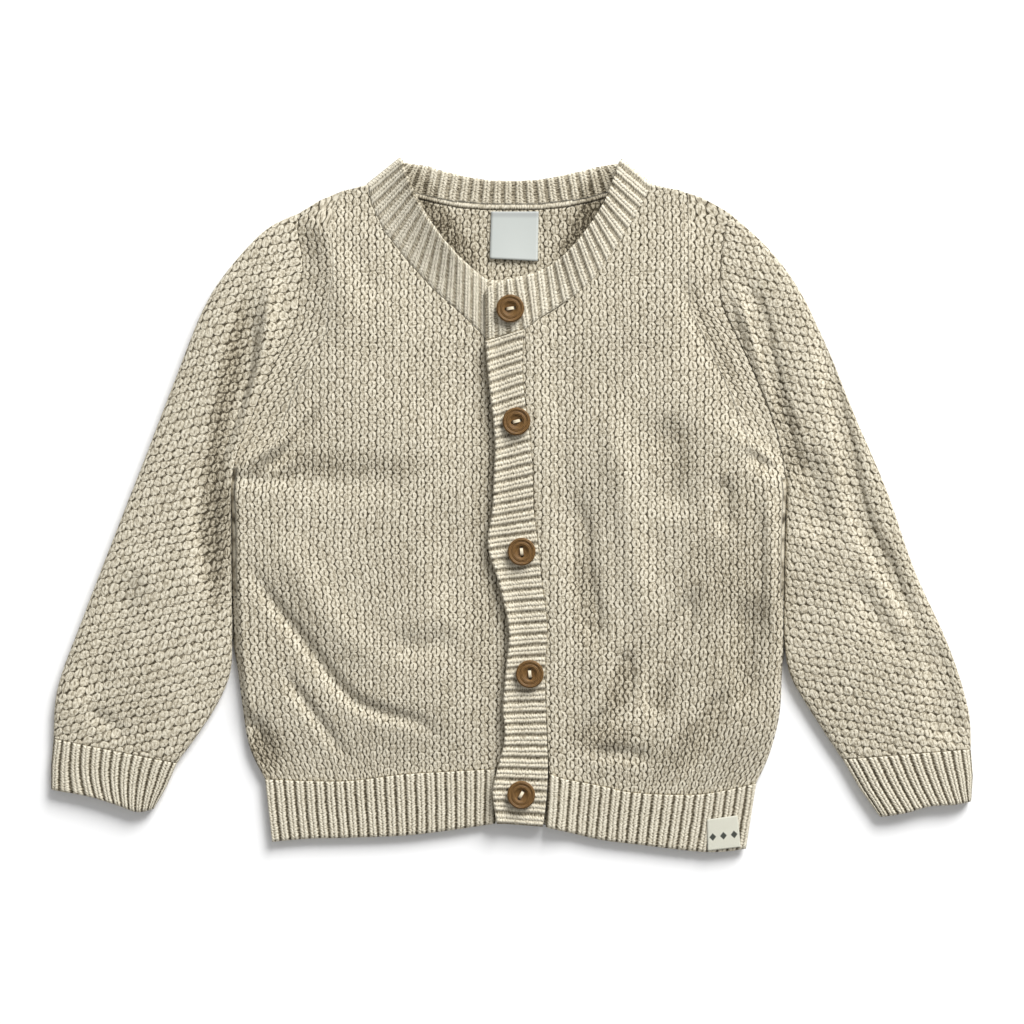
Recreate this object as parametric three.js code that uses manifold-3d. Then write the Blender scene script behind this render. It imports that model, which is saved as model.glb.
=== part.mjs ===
// A baby's knitted cardigan laid flat on its back, buttoned.
// Millimetres. X runs to the wearer's left, Y from the hem to the neck, Z up from the floor.
import * as THREE from "three";
import Module from "manifold-3d";

const wasm = await Module();
wasm.setup();

// Layers and seams
const clothThickness = 2.4;
const layerGap = 0.4;
const seamGap = 0.5;
const armholeGap = 0.9;
const armholeEase = 16;
const bandTuck = 1.5;
const ribHeight = 0.8;
const trimGap = 0.2;
const layerStep = clothThickness + layerGap;
const frontLevel = layerStep;
const overlapLevel = 2 * layerStep;
const puffHeight = 2.6;
const puffFade = 0.14;
const edgeDrop = 0.3;

// Ribs counted in the photograph
const hemRibsRight = 23;
const hemRibsLeft = 20;
const neckRibs = 62;
const bandRibs = 44;
const cuffRibs = 12;

// Where a rib's flat top starts and ends and where its groove lies, as shares of its pitch
const ribPhases = [
  { at: 0.12, up: 1 },
  { at: 0.68, up: 1 },
  { at: 0.9, up: 0 },
];

// Buttons
const buttonDiameter = 13.6;
const buttonThickness = 3;
const buttonHoleDiameter = 1.8;
const buttonHoleSpacing = 3.6;

// Labels
const labelThickness = 0.5;

function table(names, rows) {
  const keys = names.split(" ");
  return rows.map((row) => Object.fromEntries(keys.map((key, column) => [key, row[column]])));
}

// Each front from the hem ribbing up: side or armhole edge, then front or neck edge
const rightFrontRows = table("sideX sideY frontX frontY", [
  [-120.5, 34.5, -6.3, 39.5],
  [-128, 50, -1.9, 54.5],
  [-131.5, 70, -2.9, 70],
  [-134, 92, -1.3, 90],
  [-135, 114, 0, 110],
  [-135.5, 137, -6.3, 136],
  [-135.7, 161, -8.5, 160],
  [-136.3, 186.5, -7.3, 182],
  [-128.8, 206.5, -6.8, 201],
  [-122.5, 222.6, -8.7, 221],
  [-117, 235, -10.2, 235.3],
  [-110.5, 247, -12.2, 248.7],
  [-105.5, 257, -26.8, 263.3],
  [-103.9, 270.4, -38.1, 273],
  [-102.2, 286, -50.8, 287.2],
  [-104.6, 302, -62.5, 301],
  [-104.2, 306.8, -68.8, 314.3],
  [-103, 311.5, -70.6, 322.8],
]);

const leftFrontRows = table("sideX sideY frontX frontY", [
  [119.5, 32.5, 17, 38],
  [126, 47, 18.1, 52],
  [130.8, 66, 17.1, 70],
  [132, 88, 16.6, 90],
  [132, 110, 18, 112],
  [132.3, 134, 14.2, 136],
  [132.8, 158, 11.6, 160],
  [133.6, 181.5, 10.7, 182],
  [130.8, 198.7, 9.4, 200],
  [125.9, 214.8, 6.1, 218],
  [118.1, 233.8, 6.6, 238],
  [109.8, 251.4, 7.3, 254.3],
  [102.5, 267.5, 21.3, 264.2],
  [102, 280.2, 40.3, 277.9],
  [103.5, 297.7, 57.9, 303.8],
  [106.5, 311, 68.4, 323.2],
]);

// Hem lines and shoulder lines, from the side to the front edge
const rightHemLine = table("x y", [
  [-120.5, 34.5],
  [-100, 33.7],
  [-79, 33.7],
  [-52.7, 36.9],
  [-30, 38.3],
  [-7.3, 39.4],
]);

const leftHemLine = table("x y", [
  [119.5, 32.5],
  [104, 29],
  [87.8, 26.9],
  [60, 27.9],
  [43, 31.4],
  [26.4, 34.7],
  [18.2, 37.6],
]);

const rightShoulderLine = table("x y", [
  [-103, 311.5],
  [-93.7, 317.2],
  [-81.5, 322],
  [-70.6, 322.8],
]);

const leftShoulderLine = table("x y", [
  [106.5, 311],
  [93.5, 318.3],
  [79.5, 322.6],
  [68.4, 323.2],
]);

// The top of the back: shoulder, neck seam, shoulder
const backTopLine = table("x y", [
  [-103, 311.5],
  [-87, 320.4],
  [-70.6, 322.8],
  [-52, 319.2],
  [-28, 313.4],
  [0, 312.2],
  [28, 313.6],
  [51, 319],
  [68.4, 323.2],
  [87, 320.9],
  [106.5, 311],
]);

const backHemLine = table("x y", [
  [-120.5, 34.5],
  [119.5, 32.5],
]);

// Ribbed hem edges below those lines
const rightHemEdge = table("x y", [
  [-117.1, 3.9],
  [-100, 5.4],
  [-79, 5.9],
  [-52.7, 6.9],
  [-31, 9.4],
  [-8, 12.8],
]);

const leftHemEdge = table("x y", [
  [114.5, 0.6],
  [104, -0.9],
  [90, -0.8],
  [62, 2.5],
  [43.4, 4.9],
  [26.4, 8.9],
  [16.6, 11.4],
]);

const backHemEdge = table("x y", [
  [-116, 5.2],
  [-60, 8.2],
  [0, 13.5],
  [45, 6.4],
  [80, 2.6],
  [112, 1.8],
]);

// The front band: its left and right edges from the neckband down to the hem
const bandLeftEdge = table("x y", [
  [-12.9, 248.3],
  [-11.2, 228],
  [-8.3, 201],
  [-8.8, 182],
  [-9.6, 165],
  [-11.7, 149],
  [-6.3, 130],
  [-1.5, 107.5],
  [-2.9, 88.5],
  [-4.4, 68],
  [-3.4, 55],
  [-7.8, 37],
  [-9.3, 28],
  [-7.3, 13.2],
]);

const bandRightEdge = table("x y", [
  [5.8, 254.3],
  [5.4, 230],
  [8.8, 201],
  [10.2, 184],
  [10.6, 167],
  [12.7, 150],
  [14.6, 131],
  [17.2, 109],
  [16.1, 88.5],
  [16.6, 68],
  [17.4, 50],
  [17.6, 38],
  [16.8, 24],
  [15.1, 11.5],
]);

// The neckband from its covered right end round the neck to its left end.
// turn 0 shows its outside, turn 180 lies under with its inside up. rib and lift are shares.
const neckbandRows = table("seamX seamY neckX neckY turn rib lift", [
  [4, 255.6, 4, 277, 0, 0, 0],
  [-12.6, 250, -12.2, 278.7, 0, 0, 0],
  [-18.5, 256.4, -18.1, 283.1, 0, 1, 0],
  [-26.8, 264.2, -25.9, 289.9, 0, 1, 0],
  [-38.1, 274, -33.7, 298.7, 0, 1, 0],
  [-50.8, 288.2, -41, 308.9, 0, 1, 0],
  [-62, 302.3, -46.9, 320.2, 0, 1, 0],
  [-68.2, 315, -51.4, 330.5, 0, 1, 0],
  [-69.4, 323.6, -53, 336.2, 0, 0, 0],
  [-69.4, 323.6, -53, 336.2, 180, 0, 0],
  [-58, 321.3, -48.5, 335.4, 180, 0, 0],
  [-45.4, 318.3, -41.5, 334.6, 180, 0, 0],
  [-38.1, 316.5, -35, 332.4, 180, 1, 0],
  [-25.4, 314, -23, 329.3, 180, 1, 0],
  [-12.2, 313, -11, 327.4, 180, 1, 0],
  [1, 313, 1, 327.1, 180, 1, 0],
  [14.2, 313, 12.5, 327.6, 180, 1, 0],
  [26.8, 314.4, 24, 329.6, 180, 1, 0],
  [38.6, 316.7, 35.6, 332.4, 180, 1, 0],
  [45.5, 318.8, 41.5, 334, 180, 0, 0],
  [57, 321.6, 47.5, 335, 180, 0, 0],
  [67.2, 323.8, 52.2, 335.6, 180, 0, 0],
  [67.2, 323.8, 52.2, 335.6, 0, 0, 0],
  [63.7, 316.7, 49.8, 328.2, 0, 1, 0],
  [57.3, 305, 45.5, 317, 0, 1, 0],
  [48.5, 291.3, 39.5, 307, 0, 1, 0],
  [39.7, 279.2, 32.5, 297.5, 0, 1, 0],
  [31, 271.4, 25, 289.8, 0, 1, 0],
  [20.8, 265.6, 18, 284.8, 0, 1, 0.4],
  [11, 261.7, 10.5, 281.5, 0, 1, 1],
  [5.2, 255.2, 2, 279.4, 0, 1, 1],
  [-4, 252.3, -5, 277.9, 0, 1, 1],
  [-10.6, 249.9, -11.2, 275.2, 0, 1, 1],
  [-12.9, 249.4, -13.2, 272.3, 0, 1, 1],
]);

// Each sleeve from the armhole down to the cuff: outer edge, then inner edge
const rightSleeveRows = table("outerX outerY innerX innerY", [
  [-104, 311.5, -137.3, 186.5],
  [-120.5, 302.6, -137.8, 178],
  [-138.6, 283.1, -137.6, 168],
  [-150.8, 263.6, -137.2, 156],
  [-162.5, 234.3, -137.2, 142],
  [-177.6, 195.2, -137.2, 124],
  [-192.8, 156.2, -136.8, 104],
  [-207.9, 117.2, -137.8, 86],
  [-221.5, 80, -146, 67.5],
  [-223.8, 54.4, -163.5, 42.5],
]);

const leftSleeveRows = table("outerX outerY innerX innerY", [
  [107.5, 311, 134.6, 181.5],
  [125.4, 293.8, 134.4, 173],
  [140.5, 273.3, 134.1, 163],
  [154.7, 243.9, 133.8, 150],
  [166.4, 214.8, 133.6, 136],
  [183, 175.7, 133.5, 120],
  [196.7, 136.7, 133.5, 104],
  [214.2, 97.6, 136, 86],
  [223, 68.4, 146, 68],
  [224.3, 49.3, 161.5, 44.4],
]);

// Cuffs: outer edge, then inner edge, from the sleeve down
const rightCuffRows = table("outerX outerY innerX innerY", [
  [-223.6, 53.8, -163.8, 41.9],
  [-225, 41.5, -168.8, 30.5],
  [-225, 29.4, -175, 20],
]);

const leftCuffRows = table("outerX outerY innerX innerY", [
  [224.3, 48.7, 162.2, 43.8],
  [225.3, 36, 170, 30],
  [224.5, 23.7, 180, 16.1],
]);

const rightCuffEdge = table("x y", [
  [-225, 29.4],
  [-207.2, 26.3],
  [-193.2, 22.1],
  [-183, 18.6],
  [-175, 20],
]);

const leftCuffEdge = table("x y", [
  [224.5, 23.7],
  [216.5, 22.1],
  [204.3, 21.3],
  [192, 18],
  [180, 16.1],
]);

// How thick a sleeve stands, from the armhole down to the cuff
const sleeveHeights = table("height", [[5.6], [7.2], [8.2], [8.4], [8.2], [8], [8], [8], [7.8], [7]]);
const cuffHeight = 6.8;

// Folds as three points: a trough has a depth above nought, a ridge below
const rightFrontFolds = table("depth halfWidth x1 y1 x2 y2 x3 y3", [
  [2.2, 6, -122, 134, -104, 107, -89, 78],
  [2.6, 6, -89, 78, -64, 66, -33, 45],
  [2, 5, -108, 83, -99, 66, -82, 44],
  [1.6, 4, -125, 56, -120, 46, -116, 37],
  [1, 9, -136, 186, -108, 181, -55, 180],
  [-1, 7, -104, 219, -112, 204, -120, 189],
]);

const leftFrontFolds = table("depth halfWidth x1 y1 x2 y2 x3 y3", [
  [1.6, 6, 33, 166, 32, 136, 34, 112],
  [2.2, 6, 34, 112, 40, 90, 50, 79],
  [2.6, 5, 52, 86, 49, 73, 38, 57],
  [1.8, 4, 33, 51, 43, 47, 60, 44],
  [-1.2, 7, 49, 200, 57, 151, 66, 100],
  [1.6, 6, 87, 127, 76, 97, 75, 70],
  [2.2, 6, 116, 117, 112, 88, 99, 66],
  [1.8, 5, 99, 66, 90, 52, 82, 38],
  [1.4, 6, 120, 166, 117, 150, 115, 136],
  [1.3, 7, 89, 278, 98, 249, 107, 224],
]);

const rightSleeveFolds = table("depth halfWidth x1 y1 x2 y2 x3 y3", [
  [2.2, 6, -125, 268, -129, 244, -133, 224],
  [2.4, 6, -133, 224, -140, 205, -144, 185],
  [1.6, 6, -144, 185, -144, 156, -144, 127],
  [1.4, 7, -186, 122, -203, 88, -214, 68],
  [1.2, 4, -199, 66, -195, 60, -191, 54],
]);

const leftSleeveFolds = table("depth halfWidth x1 y1 x2 y2 x3 y3", [
  [2, 6, 118, 268, 128, 224, 136, 200],
  [1.6, 8, 146, 288, 158, 239, 165, 200],
  [1.6, 8, 165, 200, 172, 166, 187, 139],
  [1.6, 8, 165, 131, 175, 116, 185, 102],
  [1.4, 10, 201, 97, 206, 75, 210, 55],
]);

const buttonPlaces = table("x y turn", [
  [-0.7, 264, 10],
  [2.3, 209.1, 15],
  [4.8, 145.7, 95],
  [8.8, 86.2, 95],
  [4.6, 27.4, 60],
]);

const neckLabelCorners = table("x y", [
  [-10, 312],
  [13.2, 312],
  [12.7, 287.7],
  [-10.7, 288.9],
]);

const hemLabelCorners = table("x y", [
  [95.3, 15],
  [110.3, 17],
  [111.7, 1.6],
  [95.6, -0.2],
]);

// Tile counts for the walls
const panelAcross = 14;
const panelAlong = 24;
const sleeveAlong = 18;
const sleeveStops = [0, 0.04, 0.11, 0.2, 0.3, 0.4, 0.5, 0.6, 0.7, 0.8, 0.89, 0.96, 1];

const knitMoss = new THREE.MeshStandardMaterial({ color: "#c9c0a8", roughness: 0.95, metalness: 0 });
const knitRib = new THREE.MeshStandardMaterial({ color: "#cdc5ae", roughness: 0.95, metalness: 0 });
const buttonWood = new THREE.MeshStandardMaterial({ color: "#6f5030", roughness: 0.55, metalness: 0 });
const labelSatin = new THREE.MeshStandardMaterial({ color: "#e4e7e6", roughness: 0.4, metalness: 0 });
const labelWoven = new THREE.MeshStandardMaterial({ color: "#d2d0c0", roughness: 0.85, metalness: 0 });

const mix = (from, to, share) => from + (to - from) * share;

function smooth(from, to, value) {
  const share = Math.min(1, Math.max(0, (value - from) / (to - from)));
  return share * share * (3 - 2 * share);
}

// A smooth value through one column of a table, at a share of the way down it
function through(rows, key, share) {
  const place = Math.min(share, 1) * (rows.length - 1);
  const start = Math.min(Math.floor(place), rows.length - 2);
  const part = place - start;
  const before = rows[Math.max(start - 1, 0)][key];
  const from = rows[start][key];
  const to = rows[start + 1][key];
  const after = rows[Math.min(start + 2, rows.length - 1)][key];
  const slope = (to - before) * 0.5;
  const slopeEnd = (after - from) * 0.5;
  const rise = to - from;
  return from + part * (slope + part * (3 * rise - 2 * slope - slopeEnd + part * (slope + slopeEnd - 2 * rise)));
}

// The same without smoothing
function straight(rows, key, share) {
  const place = share * (rows.length - 1);
  const start = Math.min(Math.floor(place), rows.length - 2);
  return mix(rows[start][key], rows[start + 1][key], place - start);
}

const shares = (count) => Array.from({ length: count + 1 }, (_, index) => index / count);

// Shares along a ribbed edge, with how far each stands up
function ribShares(ribs) {
  const stops = [{ share: 0, up: 0 }];
  for (let rib = 0; rib < ribs; rib += 1) {
    for (const phase of ribPhases) {
      stops.push({ share: (rib + phase.at) / ribs, up: phase.up });
    }
  }
  stops.push({ share: 1, up: 0 });
  return stops;
}

function solid(name, triangles, material) {
  const geometry = new THREE.BufferGeometry();
  const points = triangles.flat();
  let volume = 0;
  for (const [a, b, c] of triangles) {
    volume += a[0] * (b[1] * c[2] - b[2] * c[1]) + a[1] * (b[2] * c[0] - b[0] * c[2]) + a[2] * (b[0] * c[1] - b[1] * c[0]);
  }
  const ordered = volume < 0 ? triangles.flatMap(([a, b, c]) => [a, c, b]) : points;
  geometry.setAttribute("position", new THREE.Float32BufferAttribute(ordered.flat(), 3));
  geometry.computeVertexNormals();
  const mesh = new THREE.Mesh(geometry, material);
  mesh.name = name;
  return mesh;
}

function pave(triangles, rows, closed, flipped) {
  for (let row = 0; row + 1 < rows.length; row += 1) {
    const columns = rows[row].length;
    for (let column = 0; column + (closed ? 0 : 1) < columns; column += 1) {
      const next = (column + 1) % columns;
      const a = rows[row][column];
      const b = rows[row][next];
      const c = rows[row + 1][next];
      const d = rows[row + 1][column];
      if (flipped) {
        triangles.push([a, c, b], [a, d, c]);
      } else {
        triangles.push([a, b, c], [a, c, d]);
      }
    }
  }
}

// A cloth wall between two matched grids of points
function wall(name, top, under, material) {
  const triangles = [];
  const last = top.length - 1;
  pave(triangles, top, false, false);
  pave(triangles, under, false, true);
  pave(triangles, [under[0], top[0]], false, false);
  pave(triangles, [top[last], under[last]], false, false);
  pave(triangles, [top.map((row) => row[0]), under.map((row) => row[0])], false, false);
  pave(triangles, [under.map((row) => row.at(-1)), top.map((row) => row.at(-1))], false, false);
  return solid(name, triangles, material);
}

// A cloth tube between matched rings, open at both ends
function tube(name, outer, inner, material) {
  const triangles = [];
  pave(triangles, outer, true, false);
  pave(triangles, inner, true, true);
  pave(triangles, [inner[0], outer[0]], true, false);
  pave(triangles, [outer.at(-1), inner.at(-1)], true, false);
  return solid(name, triangles, material);
}

function distanceToFold(fold, x, y) {
  const legs = [
    [fold.x1, fold.y1, fold.x2, fold.y2],
    [fold.x2, fold.y2, fold.x3, fold.y3],
  ];
  return Math.min(...legs.map(([ax, ay, bx, by]) => {
    const along = ((x - ax) * (bx - ax) + (y - ay) * (by - ay)) / ((bx - ax) ** 2 + (by - ay) ** 2);
    const share = Math.min(1, Math.max(0, along));
    return Math.hypot(x - mix(ax, bx, share), y - mix(ay, by, share));
  }));
}

function foldDepth(folds, x, y) {
  return folds.reduce((sum, fold) => sum + fold.depth * Math.exp(-((distanceToFold(fold, x, y) / fold.halfWidth) ** 2)), 0);
}

// Where an edge that runs down from the neck stands at one height
function acrossAt(edge, y) {
  let above = 0;
  let below = 1;
  for (let step = 0; step < 30; step += 1) {
    const between = (above + below) / 2;
    if (through(edge, "y", between) > y) {
      above = between;
    } else {
      below = between;
    }
  }
  return through(edge, "x", above);
}

// The same line with its spots evenly apart
function evened(line) {
  const fine = shares(1200).map((share) => ({ x: through(line, "x", share), y: through(line, "y", share) }));
  const lengths = [0];
  for (let index = 1; index < fine.length; index += 1) {
    lengths.push(lengths[index - 1] + Math.hypot(fine[index].x - fine[index - 1].x, fine[index].y - fine[index - 1].y));
  }
  const reach = lengths.at(-1) * (1 - 1e-9);
  return shares(30).map((share) => fine[lengths.findIndex((length) => length >= share * reach)]);
}

// How far the left side climbs over the button band, level beside it and gone further out
function lift(x, y) {
  return layerStep * (1 - smooth(3, 18, x - acrossAt(bandRightEdge, y)));
}

// A panel's plan: straight rows between its edges, eased to the lines at both ends
function panelPlan(startAt, endAt, hemLine, topLine) {
  const reach = 0.2;
  return (across, along) => {
    const row = (share) => {
      const [startX, startY] = startAt(share);
      const [endX, endY] = endAt(share);
      return [mix(startX, endX, across), mix(startY, endY, across)];
    };
    const [x, y] = row(along);
    const [hemX, hemY] = row(0);
    const [topX, topY] = row(1);
    const hemPull = Math.max(0, 1 - along / reach) ** 2;
    const topPull = Math.max(0, 1 - (1 - along) / reach) ** 2;
    return [
      x + hemPull * (through(hemLine, "x", across) - hemX) + topPull * (straight(topLine, "x", across) - topX),
      y + hemPull * (through(hemLine, "y", across) - hemY) + topPull * (straight(topLine, "y", across) - topY),
    ];
  };
}

function panel(name, plan, across, along, heightAt, material) {
  const top = [];
  const under = [];
  for (const up of shares(along)) {
    const spots = shares(across).map((over) => {
      const [x, y] = plan(over, up);
      return { x, y, level: heightAt(x, y, over, up) };
    });
    top.push(spots.map((spot) => [spot.x, spot.y, spot.level + clothThickness]));
    under.push(spots.map((spot) => [spot.x, spot.y, spot.level]));
  }
  return wall(name, top, under, material);
}

function puff(over, up) {
  const sides = smooth(0, puffFade, over) * smooth(0, puffFade, 1 - over);
  const ends = smooth(0, puffFade, up) * smooth(0, puffFade, 1 - up);
  return puffHeight * sides * ends;
}

function frontHeight(folds, climbs) {
  return (x, y, over, up) => {
    const rise = puff(over, up);
    const shaped = rise - foldDepth(folds, x, y) * Math.min(1, rise / puffHeight);
    return frontLevel + Math.max(0, shaped) + (climbs ? lift(x, y) : 0);
  };
}

// A ribbed strip between two edges: ribs run from one edge to the other
function ribbedStrip(name, firstEdge, secondEdge, ribs, levelAt, material) {
  const spans = 2;
  const stops = ribShares(ribs);
  const top = [];
  const under = [];
  for (const over of shares(spans)) {
    const drop = over === 0 || over === 1 ? edgeDrop : 0;
    const spots = stops.map(({ share, up }) => {
      const x = mix(through(firstEdge, "x", share), through(secondEdge, "x", share), over);
      const y = mix(through(firstEdge, "y", share), through(secondEdge, "y", share), over);
      const covered = levelAt(x, y) < overlapLevel && x > acrossAt(bandLeftEdge, y) - seamGap && x < 0;
      return { x, y, up: covered ? 0 : up, level: levelAt(x, y) };
    });
    top.push(spots.map((spot) => [spot.x, spot.y, spot.level + clothThickness + spot.up * ribHeight - drop]));
    under.push(spots.map((spot) => [spot.x, spot.y, spot.level]));
  }
  return wall(name, top, under, material);
}

// The armhole line a sleeve starts from, from the shoulder down to the underarm
function armholeOf(rows, underarm, outward) {
  return shares(20).map((down) => {
    const share = mix(1, underarm / (rows.length - 1), down);
    return { x: through(rows, "sideX", share) + outward * armholeGap, y: through(rows, "sideY", share) };
  });
}

const sideOf = (rows) => (share) => [through(rows, "sideX", share), through(rows, "sideY", share)];

// A front's other edge follows the band beside it, then the neck
function frontEdgeOf(rows, edge, distance) {
  return (share) => {
    const y = through(rows, "frontY", share);
    const beside = y < edge[0].y;
    return [beside ? acrossAt(edge, y) + distance : through(rows, "frontX", share), y];
  };
}

const shifted = (edge, distance) => edge.map((spot) => ({ x: spot.x + distance, y: spot.y }));

// A hem edge starts just below the panel it is joined to
const lowered = (line, distance) => line.map((spot) => ({ x: spot.x, y: spot.y - distance }));

// A flattened sleeve section: sides at half height, flat under, crowned above
const sectionShape = (over) => (1 - Math.abs(2 * over - 1) ** 4) ** 0.25;

function ring(stops, height, inset, spotAt, topAt) {
  const half = height / 2;
  return stops.map(({ over, side, up }) => {
    const { x, y, width } = spotAt(over, inset);
    const shape = sectionShape(over);
    const share = side < 0 ? Math.min(1, 1.12 * shape) : shape;
    const rise = (half - inset) * share;
    const level = half + side * rise;
    const raised = side > 0 ? topAt(x, y, shape, up, width) : 0;
    return [x, y, level + raised];
  });
}

function ringStops(topShares) {
  const under = sleeveStops.slice(1, -1).reverse();
  return [
    ...topShares.map(({ share, up }) => ({ over: share, side: share === 0 || share === 1 ? 0 : 1, up })),
    ...under.map((over) => ({ over, side: -1, up: 0 })),
  ];
}

function sleeve(name, rows, armhole, folds, material) {
  const stops = ringStops(sleeveStops.map((share) => ({ share, up: 0 })));
  const outer = [];
  const inner = [];
  const reach = 0.4;
  for (const along of shares(sleeveAlong)) {
    const height = through(sleeveHeights, "height", along);
    const pull = Math.max(0, 1 - along / reach) ** 1.5;
    const edges = ["outerX", "outerY", "innerX", "innerY"].map((key) => through(rows, key, along));
    const first = ["outerX", "outerY", "innerX", "innerY"].map((key) => rows[0][key]);
    const width = Math.hypot(edges[2] - edges[0], edges[3] - edges[1]);
    const spotAt = (over, inset) => {
      const share = mix(inset / width, 1 - inset / width, over);
      const eased = smooth(0, 0.06, along) * (1 - smooth(0.06, 0.6, along));
      const clear = Math.sign(edges[0]) * armholeEase * share * (1 - share) * eased;
      return {
        width,
        x: mix(edges[0], edges[2], share) + pull * (through(armhole, "x", share) - mix(first[0], first[2], share)) + clear,
        y: mix(edges[1], edges[3], share) + pull * (through(armhole, "y", share) - mix(first[1], first[3], share)),
      };
    };
    const room = height / 2 - clothThickness;
    const topAt = (x, y, shape) => {
      const welt = 0.9 * Math.exp(-(((along - 0.06) / 0.035) ** 2)) * shape;
      const depth = foldDepth(folds, x, y) * shape * smooth(0, 0.08, along) * smooth(0, 0.08, 1 - along);
      return welt - Math.min(depth, room * (1 + shape) - 0.4);
    };
    outer.push(ring(stops, height, 0, spotAt, topAt));
    inner.push(ring(stops, height, clothThickness, spotAt, topAt));
  }
  return tube(name, outer, inner, material);
}

function cuff(name, rows, edge, material) {
  const stops = ringStops(ribShares(cuffRibs));
  const outer = [];
  const inner = [];
  for (const along of shares(2)) {
    const edges = ["outerX", "outerY", "innerX", "innerY"].map((key) => straight(rows, key, along));
    const width = Math.hypot(edges[2] - edges[0], edges[3] - edges[1]);
    const lastRow = rows.at(-1);
    const spotAt = (over, inset) => {
      const share = mix(inset / width, 1 - inset / width, over);
      const pull = along * along;
      return {
        width,
        x: mix(edges[0], edges[2], share) + pull * (through(edge, "x", share) - mix(lastRow.outerX, lastRow.innerX, share)),
        y: mix(edges[1], edges[3], share) + pull * (through(edge, "y", share) - mix(lastRow.outerY, lastRow.innerY, share)),
      };
    };
    const ribbed = (x, y, shape, up) => ribHeight * up * smooth(0.3, 0.9, shape);
    const plain = () => 0;
    outer.push(ring(stops, cuffHeight, 0, spotAt, ribbed));
    inner.push(ring(stops, cuffHeight, clothThickness, spotAt, plain));
  }
  return tube(name, outer, inner, material);
}

// The neckband: one strip that turns over at both shoulders
function neckband(name, material) {
  const foldRadius = layerStep / 2;
  const middle = (row) => [(row.seamX + row.neckX) / 2, (row.seamY + row.neckY) / 2];
  const lengths = [0];
  for (let index = 1; index < neckbandRows.length; index += 1) {
    const [fromX, fromY] = middle(neckbandRows[index - 1]);
    const [toX, toY] = middle(neckbandRows[index]);
    const turned = neckbandRows[index].turn !== neckbandRows[index - 1].turn;
    lengths.push(lengths[index - 1] + (turned ? Math.PI * foldRadius : Math.hypot(toX - fromX, toY - fromY)));
  }
  const total = lengths.at(-1);
  const rows = ribShares(neckRibs).map(({ share, up }) => {
    const at = share * total;
    const next = Math.max(1, lengths.findIndex((length) => length >= at - 1e-9));
    const from = neckbandRows[next - 1];
    const to = neckbandRows[next];
    const part = (at - lengths[next - 1]) / (lengths[next] - lengths[next - 1]);
    const blend = (key) => mix(from[key], to[key], part);
    const turn = THREE.MathUtils.degToRad(blend("turn"));
    return { blend, turn, up };
  });
  const outside = [];
  const inside = [];
  for (const over of shares(2)) {
    const drop = over === 1 ? 0 : edgeDrop;
    const outsideRow = [];
    const insideRow = [];
    for (const { blend, turn, up } of rows) {
      const x = mix(blend("seamX"), blend("neckX"), over);
      const y = mix(blend("seamY"), blend("neckY"), over);
      const faceUp = Math.cos(turn);
      const sideways = Math.sin(turn) * (x < 0 ? -1 : 1);
      const outwardX = sideways * 0.65;
      const outwardY = Math.sin(turn) * 0.76;
      const rib = ribHeight * up * blend("rib");
      const level = layerStep / 2 + clothThickness / 2 + foldRadius * faceUp + layerStep * blend("lift");
      const centre = [x + foldRadius * outwardX, y + foldRadius * outwardY, level];
      const face = [outwardX, outwardY, faceUp];
      const outsideRise = clothThickness / 2 + (faceUp > 0.9 ? rib - drop * blend("rib") : 0);
      const insideRise = clothThickness / 2 + (faceUp < -0.9 ? rib : 0);
      outsideRow.push(centre.map((value, axis) => value + face[axis] * outsideRise));
      insideRow.push(centre.map((value, axis) => value - face[axis] * insideRise));
    }
    outside.push(outsideRow);
    inside.push(insideRow);
  }
  return wall(name, outside, inside, material);
}

// A dished two-hole button, turned about its own middle
function button(name, place, material) {
  const radius = buttonDiameter / 2;
  const profile = table("radius height", [
    [0, 0],
    [radius * 0.8, 0],
    [radius, buttonThickness * 0.4],
    [radius * 0.95, buttonThickness * 0.85],
    [radius * 0.8, buttonThickness],
    [radius * 0.62, buttonThickness * 0.95],
    [radius * 0.42, buttonThickness * 0.62],
    [0, buttonThickness * 0.58],
  ]);
  const sides = 16;
  const triangles = [];
  const at = (spot, index) => {
    const angle = (index / sides) * 2 * Math.PI;
    return [spot.radius * Math.cos(angle), spot.radius * Math.sin(angle), spot.height];
  };
  for (let row = 0; row + 1 < profile.length; row += 1) {
    for (let index = 0; index < sides; index += 1) {
      const next = (index + 1) % sides;
      const a = at(profile[row], index);
      const b = at(profile[row], next);
      const c = at(profile[row + 1], next);
      const d = at(profile[row + 1], index);
      if (profile[row].radius > 0) {
        triangles.push([a, b, c]);
      }
      if (profile[row + 1].radius > 0) {
        triangles.push([a, c, d]);
      }
    }
  }
  const body = toManifold(triangles);
  const hole = wasm.Manifold.cylinder(buttonThickness * 2, buttonHoleDiameter / 2, buttonHoleDiameter / 2, 10, true);
  const pierced = body
    .subtract(hole.translate([buttonHoleSpacing / 2, 0, 0]))
    .subtract(hole.translate([-buttonHoleSpacing / 2, 0, 0]))
    .rotate([0, 0, place.turn])
    .translate([place.x, place.y, overlapLevel + clothThickness + ribHeight + trimGap]);
  return solid(name, fromManifold(pierced), material);
}

function toManifold(triangles) {
  const places = new Map();
  const vertices = [];
  const corners = triangles.flat().map((point) => {
    const key = point.map((value) => value.toFixed(6)).join();
    if (!places.has(key)) {
      places.set(key, places.size);
      vertices.push(...point);
    }
    return places.get(key);
  });
  const mesh = new wasm.Mesh({
    numProp: 3,
    vertProperties: new Float32Array(vertices),
    triVerts: new Uint32Array(corners),
  });
  return new wasm.Manifold(mesh);
}

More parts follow.
